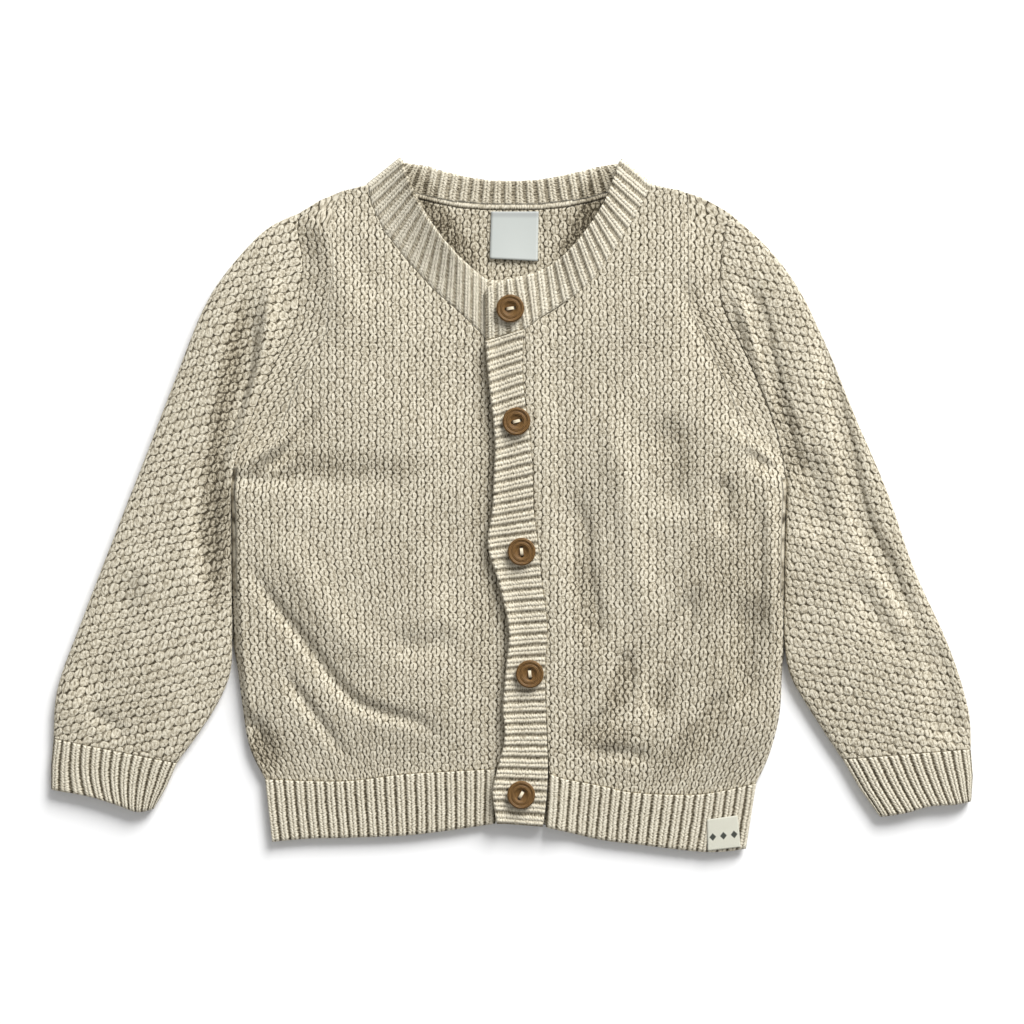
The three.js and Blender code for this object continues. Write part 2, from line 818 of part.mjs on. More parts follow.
function fromManifold(body) {
  const { numProp, vertProperties, triVerts } = body.getMesh();
  const point = (corner) => Array.from(vertProperties.slice(corner * numProp, corner * numProp + 3));
  const triangles = [];
  for (let index = 0; index < triVerts.length; index += 3) {
    triangles.push([point(triVerts[index]), point(triVerts[index + 1]), point(triVerts[index + 2])]);
  }
  return triangles;
}

// A flat label from its four corners, lying on what is below it
function label(name, corners, base, material) {
  const tiles = 3;
  const spots = shares(tiles).map((down) => shares(tiles).map((over) => [
    mix(mix(corners[0].x, corners[1].x, over), mix(corners[3].x, corners[2].x, over), down),
    mix(mix(corners[0].y, corners[1].y, over), mix(corners[3].y, corners[2].y, over), down),
  ]));
  const top = spots.map((row) => row.map(([x, y]) => [x, y, base + labelThickness]));
  const under = spots.map((row) => row.map(([x, y]) => [x, y, base]));
  return wall(name, top, under, material);
}

const rightFrontEdge = frontEdgeOf(rightFrontRows, bandLeftEdge, bandTuck);
const leftFrontEdge = frontEdgeOf(leftFrontRows, bandRightEdge, seamGap + 0.1);
const rightFrontPlan = panelPlan(sideOf(rightFrontRows), rightFrontEdge, evened(rightHemLine), rightShoulderLine);
const leftFrontPlan = panelPlan(sideOf(leftFrontRows), leftFrontEdge, evened(leftHemLine), leftShoulderLine);
const backPlan = panelPlan(sideOf(rightFrontRows), sideOf(leftFrontRows), backHemLine, backTopLine);
const rightHemStart = lowered(evened(rightHemLine), seamGap);
const leftHemStart = lowered(evened(leftHemLine), seamGap);
const flatLevel = (level) => () => level;
const climbingLevel = (x, y) => frontLevel + lift(x, y);

// The covered button band, plain, between the right front and the edge of the band above it
function buttonBand(name, material) {
  const first = shifted(bandLeftEdge, 2.2);
  const second = shifted(bandRightEdge, -0.6);
  const plan = (across, along) => {
    const share = mix(0.004, 0.996, 1 - along);
    return [
      mix(through(first, "x", share), through(second, "x", share), across),
      mix(through(first, "y", share), through(second, "y", share), across) - (along > 0.9 ? 0.4 : 0),
    ];
  };
  return panel(name, plan, 2, 24, flatLevel(frontLevel), material);
}

const group = new THREE.Group();
group.add(
  panel("back_panel", backPlan, 10, panelAlong, flatLevel(0), knitMoss),
  panel("right_front", rightFrontPlan, panelAcross, panelAlong, frontHeight(rightFrontFolds, false), knitMoss),
  panel("left_front", leftFrontPlan, panelAcross, panelAlong, frontHeight(leftFrontFolds, true), knitMoss),
  sleeve("right_sleeve", rightSleeveRows, armholeOf(rightFrontRows, 7, -1), rightSleeveFolds, knitMoss),
  sleeve("left_sleeve", leftSleeveRows, armholeOf(leftFrontRows, 7, 1), leftSleeveFolds, knitMoss),
  cuff("right_cuff", rightCuffRows, rightCuffEdge, knitRib),
  cuff("left_cuff", leftCuffRows, leftCuffEdge, knitRib),
  panel(
    "back_hem_rib",
    (across, along) => {
      const line = lowered(backHemLine, seamGap);
      return [
        mix(through(backHemEdge, "x", across), through(line, "x", across), along),
        mix(through(backHemEdge, "y", across), through(line, "y", across), along),
      ];
    },
    15,
    2,
    flatLevel(0),
    knitRib,
  ),
  ribbedStrip("right_front_hem_rib", rightHemStart, evened(rightHemEdge), hemRibsRight, flatLevel(frontLevel), knitRib),
  ribbedStrip("left_front_hem_rib", leftHemStart, evened(leftHemEdge), hemRibsLeft, climbingLevel, knitRib),
  neckband("neckband", knitRib),
  buttonBand("button_band", knitRib),
  ribbedStrip("buttonhole_band", evened(bandLeftEdge), evened(bandRightEdge), bandRibs, flatLevel(overlapLevel), knitRib),
  ...buttonPlaces.map((place, index) => button(`button_${index + 1}`, place, buttonWood)),
  label("neck_label", neckLabelCorners, clothThickness + trimGap + 0.1, labelSatin),
  label("hem_label", hemLabelCorners, frontLevel + clothThickness + ribHeight + trimGap, labelWoven),
);

// The origin is the middle of the floor print
const box = new THREE.Box3().setFromObject(group);
for (const mesh of group.children) {
  mesh.geometry.translate(-(box.min.x + box.max.x) / 2, -(box.min.y + box.max.y) / 2, -box.min.z);
}

export default group;
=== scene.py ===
# A baby's knitted cardigan laid flat on its back, buttoned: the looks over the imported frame.
# Tables are in millimetres, as X across and Y up from the hem; pieces are made in metres.
import math

import bmesh
import bpy
import numpy as np
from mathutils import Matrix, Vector


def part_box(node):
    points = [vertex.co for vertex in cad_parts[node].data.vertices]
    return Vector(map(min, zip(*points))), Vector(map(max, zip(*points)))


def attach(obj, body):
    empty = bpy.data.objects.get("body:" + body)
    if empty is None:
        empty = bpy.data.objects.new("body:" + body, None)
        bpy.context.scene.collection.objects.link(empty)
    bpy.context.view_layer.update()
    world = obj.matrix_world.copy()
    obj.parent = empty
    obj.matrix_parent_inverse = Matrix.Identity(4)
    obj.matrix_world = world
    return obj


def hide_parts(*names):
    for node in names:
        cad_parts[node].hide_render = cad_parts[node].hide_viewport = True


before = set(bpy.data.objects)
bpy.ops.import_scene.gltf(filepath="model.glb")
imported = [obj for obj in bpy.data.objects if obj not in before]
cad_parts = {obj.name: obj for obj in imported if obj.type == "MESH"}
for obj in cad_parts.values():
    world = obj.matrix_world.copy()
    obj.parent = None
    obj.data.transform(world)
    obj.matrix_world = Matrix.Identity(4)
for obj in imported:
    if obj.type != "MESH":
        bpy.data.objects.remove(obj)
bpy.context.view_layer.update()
MM = 0.001

# Cloth
THICKNESS = 2.4
LAYER_STEP = 2.8
FRONT_LEVEL = LAYER_STEP
OVERLAP_LEVEL = 2 * LAYER_STEP
PUFF_HEIGHT = 4.2
PUFF_FADE = 0.14
FRONT_FADE = 0.3
NECK_FADE = 0.8
ARMHOLE_FADE = 0.35
SIDE_FADE = 0.032
FOLD_SHARE = 1.7
FOLD_TAPER = 0.3
SLEEVE_SLUMP = 1.2
SEAM_GAP = 0.08
EDGE_ROUND = 1.5
SEAM_DROP = 0.3
HEM_DROP = 0.1
FREE_DROP = 1.3

# Stitches: width and height of one, and how far it stands up
BODY_STITCH = (3.9, 4.4)
RIGHT_SLEEVE_STITCH = (3.95, 4.85)
LEFT_SLEEVE_STITCH = (3.95, 4.5)
MOSS_RELIEF = 0.22
SLEEVE_RELIEF = 0.32
# How round a loop is: how fast it falls to its sides and ends, and how it slants
BODY_LOOP = (3.5, 3.0, 0.0)
RIGHT_SLEEVE_LOOP = (3.7, 3.7, -2.0)
LEFT_SLEEVE_LOOP = (3.7, 3.7, 2.0)
RIB_RELIEF = 0.85
NECK_RELIEF = 0.8
RIB_STITCH = 1.55
POINTS_PER_STITCH = 6
POINTS_PER_RIB = 10

HEM_RIBS_RIGHT = 23
HEM_RIBS_LEFT = 20
NECK_RIBS = 62
BAND_RIBS = 44
CUFF_RIBS = 12

# The share of a rib that stands up
HEM_CREST = 0.8
NECK_CREST = 0.68

# How far the buttonhole band's free edge stands up
BAND_STAND = 2.4

# Fronts from the hem ribbing up: side x, side y, front x, front y
RIGHT_FRONT = [
    (-120.5, 34.5, -6.3, 39.5),
    (-128, 50, -1.9, 54.5),
    (-131.5, 70, -2.9, 70),
    (-134, 92, -1.3, 90),
    (-135, 114, 0, 110),
    (-135.5, 137, -6.3, 136),
    (-135.7, 161, -8.5, 160),
    (-136.3, 186.5, -7.3, 182),
    (-128.8, 206.5, -6.8, 201),
    (-122.5, 222.6, -8.7, 221),
    (-117, 235, -10.2, 235.3),
    (-110.5, 247, -12.2, 248.7),
    (-105.5, 257, -26.8, 263.3),
    (-103.9, 270.4, -38.1, 273),
    (-102.2, 286, -50.8, 287.2),
    (-104.6, 302, -62.5, 301),
    (-104.2, 306.8, -68.8, 314.3),
    (-103, 311.5, -70.6, 322.8),
]
LEFT_FRONT = [
    (119.5, 32.5, 17, 38),
    (126, 47, 18.1, 52),
    (130.8, 66, 17.1, 70),
    (132, 88, 16.6, 90),
    (132, 110, 18, 112),
    (132.3, 134, 14.2, 136),
    (132.8, 158, 11.6, 160),
    (133.6, 181.5, 10.7, 182),
    (130.8, 198.7, 9.4, 200),
    (125.9, 214.8, 6.1, 218),
    (118.1, 233.8, 6.6, 238),
    (109.8, 251.4, 7.3, 254.3),
    (102.5, 267.5, 21.3, 264.2),
    (102, 280.2, 40.3, 277.9),
    (103.5, 297.7, 57.9, 303.8),
    (106.5, 311, 68.4, 323.2),
]
UNDERARM_ROW = 7

# Lines and edges, as x and y
RIGHT_HEM_LINE = [(-120.5, 34.5), (-100, 33.7), (-79, 33.7), (-52.7, 36.9), (-30, 38.3), (-7.3, 39.4)]
LEFT_HEM_LINE = [(119.5, 32.5), (104, 29), (87.8, 26.9), (60, 27.9), (43, 31.4), (26.4, 34.7), (18.2, 37.6)]
BACK_HEM_LINE = [(-120.5, 34.5), (119.5, 32.5)]
RIGHT_SHOULDER = [(-103, 311.5), (-93.7, 317.2), (-82.5, 321.9), (-75.5, 323.4), (-70.3, 325)]
LEFT_SHOULDER = [(106.5, 311), (93.5, 318.3), (81, 322.4), (73, 323.8), (68.2, 325.2)]
BACK_TOP = [
    (-103, 311.5), (-87, 320.4), (-70.6, 322.8), (-52, 319.2), (-28, 313.4), (0, 312.2),
    (28, 313.6), (51, 319), (68.4, 323.2), (87, 320.9), (106.5, 311),
]
RIGHT_HEM_EDGE = [(-117.1, 3.9), (-100, 5.4), (-79, 5.9), (-52.7, 6.9), (-31, 9.4), (-8, 12.8)]
LEFT_HEM_EDGE = [(114.5, 0.6), (104, -0.9), (90, -0.8), (62, 2.5), (43.4, 4.9), (26.4, 8.9), (16.6, 11.4)]
BACK_HEM_EDGE = [(-116, 5.2), (-60, 8.2), (0, 13.5), (45, 6.4), (80, 2.6), (112, 1.8)]
BAND_LEFT = [
    (-12.9, 248.3), (-11.2, 228), (-8.3, 201), (-8.8, 182), (-9.6, 165), (-11.7, 149), (-6.3, 130),
    (-1.5, 107.5), (-2.9, 88.5), (-4.4, 68), (-3.4, 55), (-7.8, 37), (-9.3, 28), (-7.3, 13.2),
]
BAND_RIGHT = [
    (5.8, 254.3), (5.4, 230), (8.8, 201), (10.2, 184), (10.6, 167), (12.7, 150), (14.6, 131),
    (17.2, 109), (16.1, 88.5), (16.6, 68), (17.4, 50), (17.6, 38), (16.8, 24), (15.1, 11.5),
]

# The neckband from its covered end: seam x, seam y, neck x, neck y, turn, rib, lift
NECKBAND = [
    (4, 255.6, 4, 277, 0, 0, 0),
    (-12.6, 250, -12.2, 278.7, 0, 0, 0),
    (-18.5, 256.4, -18.1, 283.1, 0, 1, 0),
    (-26.8, 264.2, -25.9, 289.9, 0, 1, 0),
    (-38.1, 274, -33.7, 298.7, 0, 1, 0),
    (-50.8, 288.2, -41, 308.9, 0, 1, 0),
    (-62, 302.3, -46.9, 320.2, 0, 1, 0),
    (-68.2, 315, -51.4, 330.5, 0, 1, 0),
    (-69.4, 323.6, -53, 336.2, 0, 0.1, 0),
    (-69.4, 323.6, -53, 336.2, 180, 0, 0),
    (-58, 321.3, -48.5, 335.4, 180, 0, 0),
    (-45.4, 318.3, -41.5, 334.6, 180, 0, 0),
    (-38.1, 316.5, -35, 332.4, 180, 1, 0),
    (-25.4, 314, -23, 329.3, 180, 1, 0),
    (-12.2, 313, -11, 327.4, 180, 1, 0),
    (1, 313, 1, 327.1, 180, 1, 0),
    (14.2, 313, 12.5, 327.6, 180, 1, 0),
    (26.8, 314.4, 24, 329.6, 180, 1, 0),
    (38.6, 316.7, 35.6, 332.4, 180, 1, 0),
    (45.5, 318.8, 41.5, 334, 180, 0, 0),
    (57, 321.6, 47.5, 335, 180, 0, 0),
    (67.2, 323.8, 52.2, 335.6, 180, 0, 0),
    (67.2, 323.8, 52.2, 335.6, 0, 0.1, 0),
    (63.7, 316.7, 49.8, 328.2, 0, 1, 0),
    (57.3, 305, 45.5, 317, 0, 1, 0),
    (48.5, 291.3, 39.5, 307, 0, 1, 0),
    (39.7, 279.2, 32.5, 297.5, 0, 1, 0),
    (31, 271.4, 25, 289.8, 0, 1, 0),
    (20.8, 264.7, 18, 284.8, 0, 1, 0.4),
    (12.6, 259.9, 10.5, 281.5, 0, 1, 1),
    (6.6, 254.9, 2, 279.4, 0, 1, 1),
    (-4, 252.3, -5, 277.9, 0, 1, 1),
    (-10.6, 249.9, -11.2, 275.2, 0, 1, 1),
    (-12.9, 249.4, -13.2, 272.3, 0, 1, 1),
]

# Sleeves from the armhole down: outer x, outer y, inner x, inner y, height
RIGHT_SLEEVE = [
    (-103.2, 311.5, -136.5, 186.5, 5.6),
    (-120.5, 302.6, -137.2, 178, 7.2),
    (-138.6, 283.1, -137.2, 168, 8.2),
    (-150.8, 263.6, -137.1, 156, 8.4),
    (-162.5, 234.3, -137, 142, 8.4),
    (-177.6, 195.2, -136.8, 124, 8.2),
    (-192.8, 156.2, -136.6, 104, 8.2),
    (-207.9, 117.2, -137.8, 86, 8.2),
    (-221.5, 80, -146, 67.5, 7.8),
    (-223.8, 54.4, -163.5, 42.5, 7),
]
LEFT_SLEEVE = [
    (106.7, 311, 133.8, 181.5, 5.6),
    (125.4, 293.8, 134.3, 173, 7.2),
    (140.5, 273.3, 134.1, 163, 8.2),
    (154.7, 243.9, 133.8, 150, 8.4),
    (166.4, 214.8, 133.5, 136, 8.4),
    (183, 175.7, 133.3, 120, 8.2),
    (196.7, 136.7, 133.3, 104, 8.2),
    (214.2, 97.6, 136, 86, 8.2),
    (223, 68.4, 146, 68, 7.8),
    (224.3, 49.3, 161.5, 44.4, 7),
]
RIGHT_CUFF = [(-223.8, 54.3, -163.6, 42.3), (-225, 41.5, -168.8, 30.5), (-225, 29.4, -175, 20)]
LEFT_CUFF = [(224.3, 49.2, 161.7, 44.2), (225.3, 36, 170, 30), (224.5, 23.7, 180, 16.1)]
RIGHT_CUFF_EDGE = [(-225, 29.4), (-207.2, 26.3), (-193.2, 22.1), (-183, 18.6), (-175, 20)]
LEFT_CUFF_EDGE = [(224.5, 23.7), (216.5, 22.1), (204.3, 21.3), (192, 18), (180, 16.1)]
CUFF_HEIGHT = 6.8

# Folds: depth (a ridge is below nought), half width, then the points of its line
RIGHT_FRONT_FOLDS = [
    (1.7, 3.6, -134, 150, -120, 126, -103.5, 105, -81.5, 77, -67, 68.3, -45, 62, -33, 52, -27, 42),
    (1.5, 3.2, -113, 92, -108.3, 83, -98.6, 69.3, -75.6, 38, -72, 32),
    (3, 6, -132, 68, -124, 54, -114, 34),
    (0.9, 4, -144, 181.5, -128, 181, -112, 181, -100, 187),
    (1, 9, -118, 186, -98, 182, -72, 181, -46, 185),
    (1.6, 3, -92, 218, -99.6, 207.4, -108.3, 195.2, -124, 182),
    (-1.4, 3, -95, 222, -102, 213, -111.8, 201, -128, 186),
    (1.3, 9, -30, 176, -29, 150, -32, 112),
    (1.2, 7, -62, 104, -45, 99, -24, 105),
    (-1.2, 9, -118, 160, -88, 112, -55, 84),
    (1.4, 9, -86, 306, -74, 290, -64, 264),
]
LEFT_FRONT_FOLDS = [
    (3.4, 6, 32, 180, 33, 150, 36, 125, 42, 92),
    (3, 5, 56, 102, 54.5, 82, 50, 68, 41, 58, 36, 44),
    (2.6, 4, 30, 52, 42, 47, 56, 46, 72, 44),
    (-1.6, 8, 44, 232, 52, 190, 60, 140, 68, 92),
    (1.6, 22, 66, 190, 68, 120, 76, 34),
    (2.8, 5, 92, 132, 84, 112, 74, 95, 70.5, 80, 70, 58),
    (2.6, 5, 108, 84, 101, 70, 92, 52, 80, 30),
    (2.2, 8, 116, 128, 114, 104, 111, 66),
    (1.9, 9, 75, 216, 78, 188, 80, 158),
    (1.5, 5, 100, 184, 104, 172, 103, 152),
    (1.4, 4, 112, 196, 122, 189, 134, 184),
    (1.7, 5, 80, 286, 90, 264, 99, 245, 116, 210),
    (-1.6, 4, 124, 186, 126, 150, 126, 100),
]
RIGHT_SLEEVE_FOLDS = [
    (3, 6, -122, 284, -129, 262, -131, 238, -135, 216, -143, 198, -149, 176, -149, 150, -146, 112),
    (-2.6, 4, -112, 288, -117, 270, -120, 249, -126, 222, -132, 206, -138, 190),
    (2, 7, -180, 140, -190, 118, -201, 95, -213, 66),
    (0.8, 4, -210, 68, -199, 63, -186, 53),
]
LEFT_SLEEVE_FOLDS = [
    (2.8, 5, 112, 284, 119, 262, 127, 226, 136, 196, 142, 176),
    (-2.4, 4, 105, 284, 112, 266, 120, 240, 129, 212, 136, 190),
    (1.8, 8, 141, 198, 147, 176, 149, 148),
    (2.8, 4.5, 144, 286, 154, 240, 163, 200, 170, 164, 184, 136, 196, 112, 208, 90),
    (1.2, 6, 164, 136, 178, 113, 194, 91),
    (2.2, 8, 204, 108, 210, 80, 212, 46),
]

# Buttons: x, y, turn in degrees
BUTTONS = [(-0.7, 264, 10), (2.3, 209.1, 15), (4.8, 145.7, 95), (8.8, 86.2, 95), (4.6, 27.4, 60)]
BUTTON_RADIUS = 6.8
BUTTON_THICKNESS = 3.0
BUTTON_HOLE_RADIUS = 0.9
BUTTON_HOLE_SPACING = 3.6
BUTTON_LEVEL = OVERLAP_LEVEL + THICKNESS + 1.0

NECK_LABEL = [(-10, 312), (13.2, 312), (12.7, 287.7), (-10.7, 288.9)]
# How far the neckband's seam edge reaches beyond its table, up to the fronts
NECK_REACH = 0.4
NECK_LIFT_REACH = 0.5
# How far the neckband's free edge stands up, and where it starts to
NECK_STAND = 2.8
# The smooth roll along the back neckband's seam
NECK_ROLL = 2.6

HEM_LABEL = [(95.3, 15), (110.3, 17), (111.7, 1.6), (95.6, -0.2)]
LABEL_THICKNESS = 0.4

# The tables' zero in the frame, from a node whose corner the tables give
label_low, label_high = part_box("neck_label")
OFFSET = np.array([label_low[0] / MM + 10.7, label_low[1] / MM - 287.7, 0.0])


def smooth(start, end, value):
    share = np.clip((value - start) / (end - start), 0, 1)
    return share * share * (3 - 2 * share)


def mix(first, second, share):
    return first + (second - first) * share


def through(rows, share):
    """Smooth values of a table's columns at shares of the way down it."""
    rows = np.asarray(rows, float)
    place = np.clip(share, 0, 1) * (len(rows) - 1)
    start = np.minimum(place.astype(int), len(rows) - 2)
    part = (place - start)[..., None]
    before = rows[np.maximum(start - 1, 0)]
    first = rows[start]
    second = rows[start + 1]
    after = rows[np.minimum(start + 2, len(rows) - 1)]
    slope = (second - before) / 2
    slope_end = (after - first) / 2
    rise = second - first
    curve = 3 * rise - 2 * slope - slope_end + part * (slope + slope_end - 2 * rise)
    return first + part * (slope + part * curve)


def straight(rows, share):
    """The same without smoothing."""
    rows = np.asarray(rows, float)
    place = np.clip(share, 0, 1) * (len(rows) - 1)
    start = np.minimum(place.astype(int), len(rows) - 2)
    return mix(rows[start], rows[start + 1], (place - start)[..., None])


def evened(line):
    """The same line with its spots evenly apart."""
    fine = through(line, np.linspace(0, 1, 1200))
    run = np.concatenate([[0], np.cumsum(np.hypot(*np.diff(fine, axis=0).T))])
    even = np.linspace(0, run[-1], 31)
    return np.stack([np.interp(even, run, fine[:, 0]), np.interp(even, run, fine[:, 1])], axis=-1)


def across_at(edge, y):
    """Where an edge that runs down from the neck stands at each height."""
    spots = through(edge, np.linspace(0, 1, 400))[::-1]
    return np.interp(y, spots[:, 1], spots[:, 0])


def fold_depth(folds, x, y):
    """How deep the folds press in, each fading out towards its ends."""
    total = np.zeros_like(x)
    for depth, half_width, *spots in folds:
        line = through(np.reshape(spots, (-1, 2)), np.linspace(0, 1, 21))
        run = np.concatenate([[0], np.cumsum(np.hypot(*np.diff(line, axis=0).T))])
        nearest = np.full_like(x, 1e9)
        reached = np.zeros_like(x)
        for first, second, start, end in zip(line, line[1:], run, run[1:]):
            step = second - first
            share = np.clip(((x - first[0]) * step[0] + (y - first[1]) * step[1]) / (step @ step), 0, 1)
            distance = np.hypot(x - mix(first[0], second[0], share), y - mix(first[1], second[1], share))
            reached = np.where(distance < nearest, mix(start, end, share), reached)
            nearest = np.minimum(nearest, distance)
        fade = run[-1] * FOLD_TAPER
        ends = smooth(0, fade, np.minimum(reached, run[-1] - reached))
        total += depth * np.exp(-((nearest / half_width) ** 2)) * ends
    return total


def lift(x, y):
    return LAYER_STEP * (1 - smooth(3, 18, x - across_at(BAND_RIGHT, y)))


def waver(x, y, seed):
    """A gentle unevenness between about -1 and 1."""
    return (
        np.sin(x * 0.13 + y * 0.05 + seed) * 0.4
        + np.sin(y * 0.17 - x * 0.06 + seed * 2.3) * 0.35
        + np.sin(x * 0.41 + y * 0.37 + seed * 1.7) * 0.15
        + np.sin(x * 0.53 - y * 0.61 + seed * 0.6) * 0.15
    )


def chance(column, row, seed):
    """A number from 0 to 1 for each stitch, the same on each run."""
    value = np.sin(column * 127.1 + row * 311.7 + seed * 74.7) * 43758.5453
    return value - np.floor(value)


def moss(stitches, seed, loop):
    """How far a moss stitch stands up, 0 to 1: rounded loops, each column half a loop on from the last."""
    side_weight, along_weight, slant = loop
    column = np.floor(stitches[:, 0])
    side = stitches[:, 0] - column - 0.5
    down = stitches[:, 1] + 0.5 * np.mod(column, 2)
    row = np.floor(down)
    along = down - row - 0.5
    fullness = 1 - side_weight * side**2 - along_weight * along**2 + slant * side * along
    dome = np.sqrt(np.clip(fullness, 0, 1))
    return dome**0.7 * (0.8 + 0.35 * chance(column, row, seed))


def ribbing(ribs, crest_share):
    """How far a rib stands up, 0 to 1: two rounded strands side by side, then a groove."""
    part = np.mod(ribs, 1)
    crest = np.clip(part / crest_share, 0, 1)
    strand = np.abs(np.mod(crest * 2, 1) - 0.5) * 2
    height = 0.6 + 0.4 * np.sqrt(np.clip(1 - strand**2, 0, 1))
    shoulder = smooth(0, 0.14, crest) * smooth(0, 0.14, 1 - crest)
    return np.where(part < crest_share, height * shoulder, 0)


def edge_fall(distance, drop):
    """How far a cloth edge rounds down, by the distance to it."""
    share = np.clip(1 - distance / EDGE_ROUND, 0, 1)
    return drop * (1 - np.sqrt(np.clip(1 - share**2, 0, 1)))


# Meshes


def placed_mesh(name, columns, rows, place):
    """A grid whose points place() puts in the frame, with stitch coordinates as its UV map."""
    bm = bmesh.new()
    bmesh.ops.create_grid(bm, x_segments=columns, y_segments=rows, size=0.5)
    mesh = bpy.data.meshes.new(name)
    bm.to_mesh(mesh)
    bm.free()
    spots = np.empty(len(mesh.vertices) * 3)
    mesh.vertices.foreach_get("co", spots)
    spots = spots.reshape(-1, 3)[:, :2]
    low = spots.min(axis=0)
    steps = (spots - low) / (spots.max(axis=0) - low)
    column = np.rint(steps[:, 0] * columns).astype(int)
    row = np.rint(steps[:, 1] * rows).astype(int)
    points, stitches = place(column, row)
    mesh.vertices.foreach_set("co", ((points + OFFSET) * MM).ravel())
    corners = np.empty(len(mesh.loops), dtype=int)
    mesh.loops.foreach_get("vertex_index", corners)
    layer = mesh.uv_layers.new(name="knit")
    layer.data.foreach_set("uv", stitches[corners].ravel())
    return mesh


def close_mesh(mesh, capped):
    """Joins the grid's meeting edges, caps open ends and turns the faces outward."""
    bm = bmesh.new()
    bm.from_mesh(mesh)
    bmesh.ops.remove_doubles(bm, verts=bm.verts, dist=1e-6)
    if capped:
        bmesh.ops.holes_fill(bm, edges=[edge for edge in bm.edges if edge.is_boundary], sides=0)
    bmesh.ops.recalc_face_normals(bm, faces=bm.faces)
    for face in bm.faces:
        face.smooth = True
    bm.to_mesh(mesh)
    bm.free()


def piece(name, mesh, material, slot, *nodes):
    made = bpy.data.objects.new(name, mesh)
    bpy.context.scene.collection.objects.link(made)
    mesh.materials.append(material)
    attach(made, "root")
    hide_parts(*nodes)
    return made


def section(top_columns, under_columns):
    """Shares across and faces round a cloth strip: over its top, down, back under it, and up."""
    over = np.concatenate([np.linspace(0, 1, top_columns + 1), np.linspace(1, 0, under_columns + 1), [0]])
    face = np.concatenate([np.ones(top_columns + 1), -np.ones(under_columns + 1), [1]])
    return over, face


def strip(name, top_columns, under_columns, rows, shape):
    """A closed cloth strip: shape(over, face, along) gives its points and stitches."""
    over, face = section(top_columns, under_columns)

    def place(column, row):
        return shape(over[column], face[column], row / rows)

    mesh = placed_mesh(name, len(over) - 1, rows, place)
    close_mesh(mesh, True)
    return mesh


def even_section(height, width, count):
    """Shares across a flattened tube's top that stand evenly along its curve."""
    over = (1 - np.cos(np.linspace(0, math.pi, 2000))) / 2
    rise = height / 2 * section_shape(over)
    length = np.concatenate([[0], np.cumsum(np.hypot(np.diff(over * width), np.diff(rise)))])
    return np.interp(np.linspace(0, length[-1], count + 1), length, over)


def section_shape(over):
    return np.clip(1 - np.abs(2 * over - 1) ** 4, 0, 1) ** 0.25


def tube(name, top_columns, under_columns, outer_rows, inner_rows, width, height, shape):
    """A closed cloth tube with open ends: shape(over, side, along, inset) gives points and stitches."""
    top = even_section(height, width, top_columns)
    under = even_section(height, width, under_columns)[::-1]
    over = np.concatenate([top, under[1:]])
    side = np.concatenate([np.ones(len(top)), -np.ones(len(under) - 1)])
    along = np.concatenate([np.linspace(0, 1, outer_rows + 1), np.linspace(1, 0, inner_rows + 1), [0]])
    inset = np.concatenate([np.zeros(outer_rows + 1), np.full(inner_rows + 1, THICKNESS), [0]])

    def place(column, row):
        return shape(over[column], side[column], along[row], inset[row])

    mesh = placed_mesh(name, len(over) - 1, len(along) - 1, place)
    close_mesh(mesh, False)
    return mesh


# Plans of the panels
SIDE_REACH = 1.0
BACK_REACH = 2.2
# The smooth welt along a front's side seam
SIDE_WELT = 2.4
WELT_FOOT = 124


def panel_plan(start_at, end_at, hem_line, top_line):
    reach = 0.2

    def row(across, along):
        return mix(start_at(along), end_at(along), across[:, None])

    def plan(across, along):
        hem_pull = (np.clip(1 - along / reach, 0, 1) ** 2)[:, None]
        top_pull = (np.clip(1 - (1 - along) / reach, 0, 1) ** 2)[:, None]
        hem = through(hem_line, across) - row(across, np.zeros_like(along))
        top = straight(top_line, across) - row(across, np.ones_like(along))
        return row(across, along) + hem_pull * hem + top_pull * top

    return plan


def side_of(rows, reach):
    """A panel's side, a little fuller than its table beside the sleeve."""

    def at(along):
        spots = through(rows, along)[..., :2].copy()
        beside = smooth(80, 110, spots[..., 1]) * smooth(184, 174, spots[..., 1])
        spots[..., 0] += np.sign(spots[..., 0]) * reach * beside
        return spots

    return at


def neck_seam(first, last):
    """The neckband's seam edge between two of its rows, for the front that meets it."""
    rows = np.asarray(NECKBAND, float)[first:last]
    inward = rows[:, 2:4] - rows[:, :2]
    inward /= np.hypot(*inward.T)[:, None]
    reach = NECK_REACH + NECK_LIFT_REACH * rows[:, 6:7] + SEAM_GAP
    spots = rows[:, :2] - inward * reach
    return spots[np.argsort(spots[:, 1])]


def front_edge_of(rows, edge, distance, seam):
    """A front's edge: along the band, then along the neckband."""

    def at(along):
        spots = through(rows, along)[..., 2:4]
        y = spots[..., 1]
        beside_band = across_at(edge, y) + distance
        beside_neck = np.interp(y, seam[:, 1], seam[:, 0])
        x = np.where(y < seam[0, 1], beside_band, beside_neck)
        return np.stack([x, y], axis=-1)

    return at


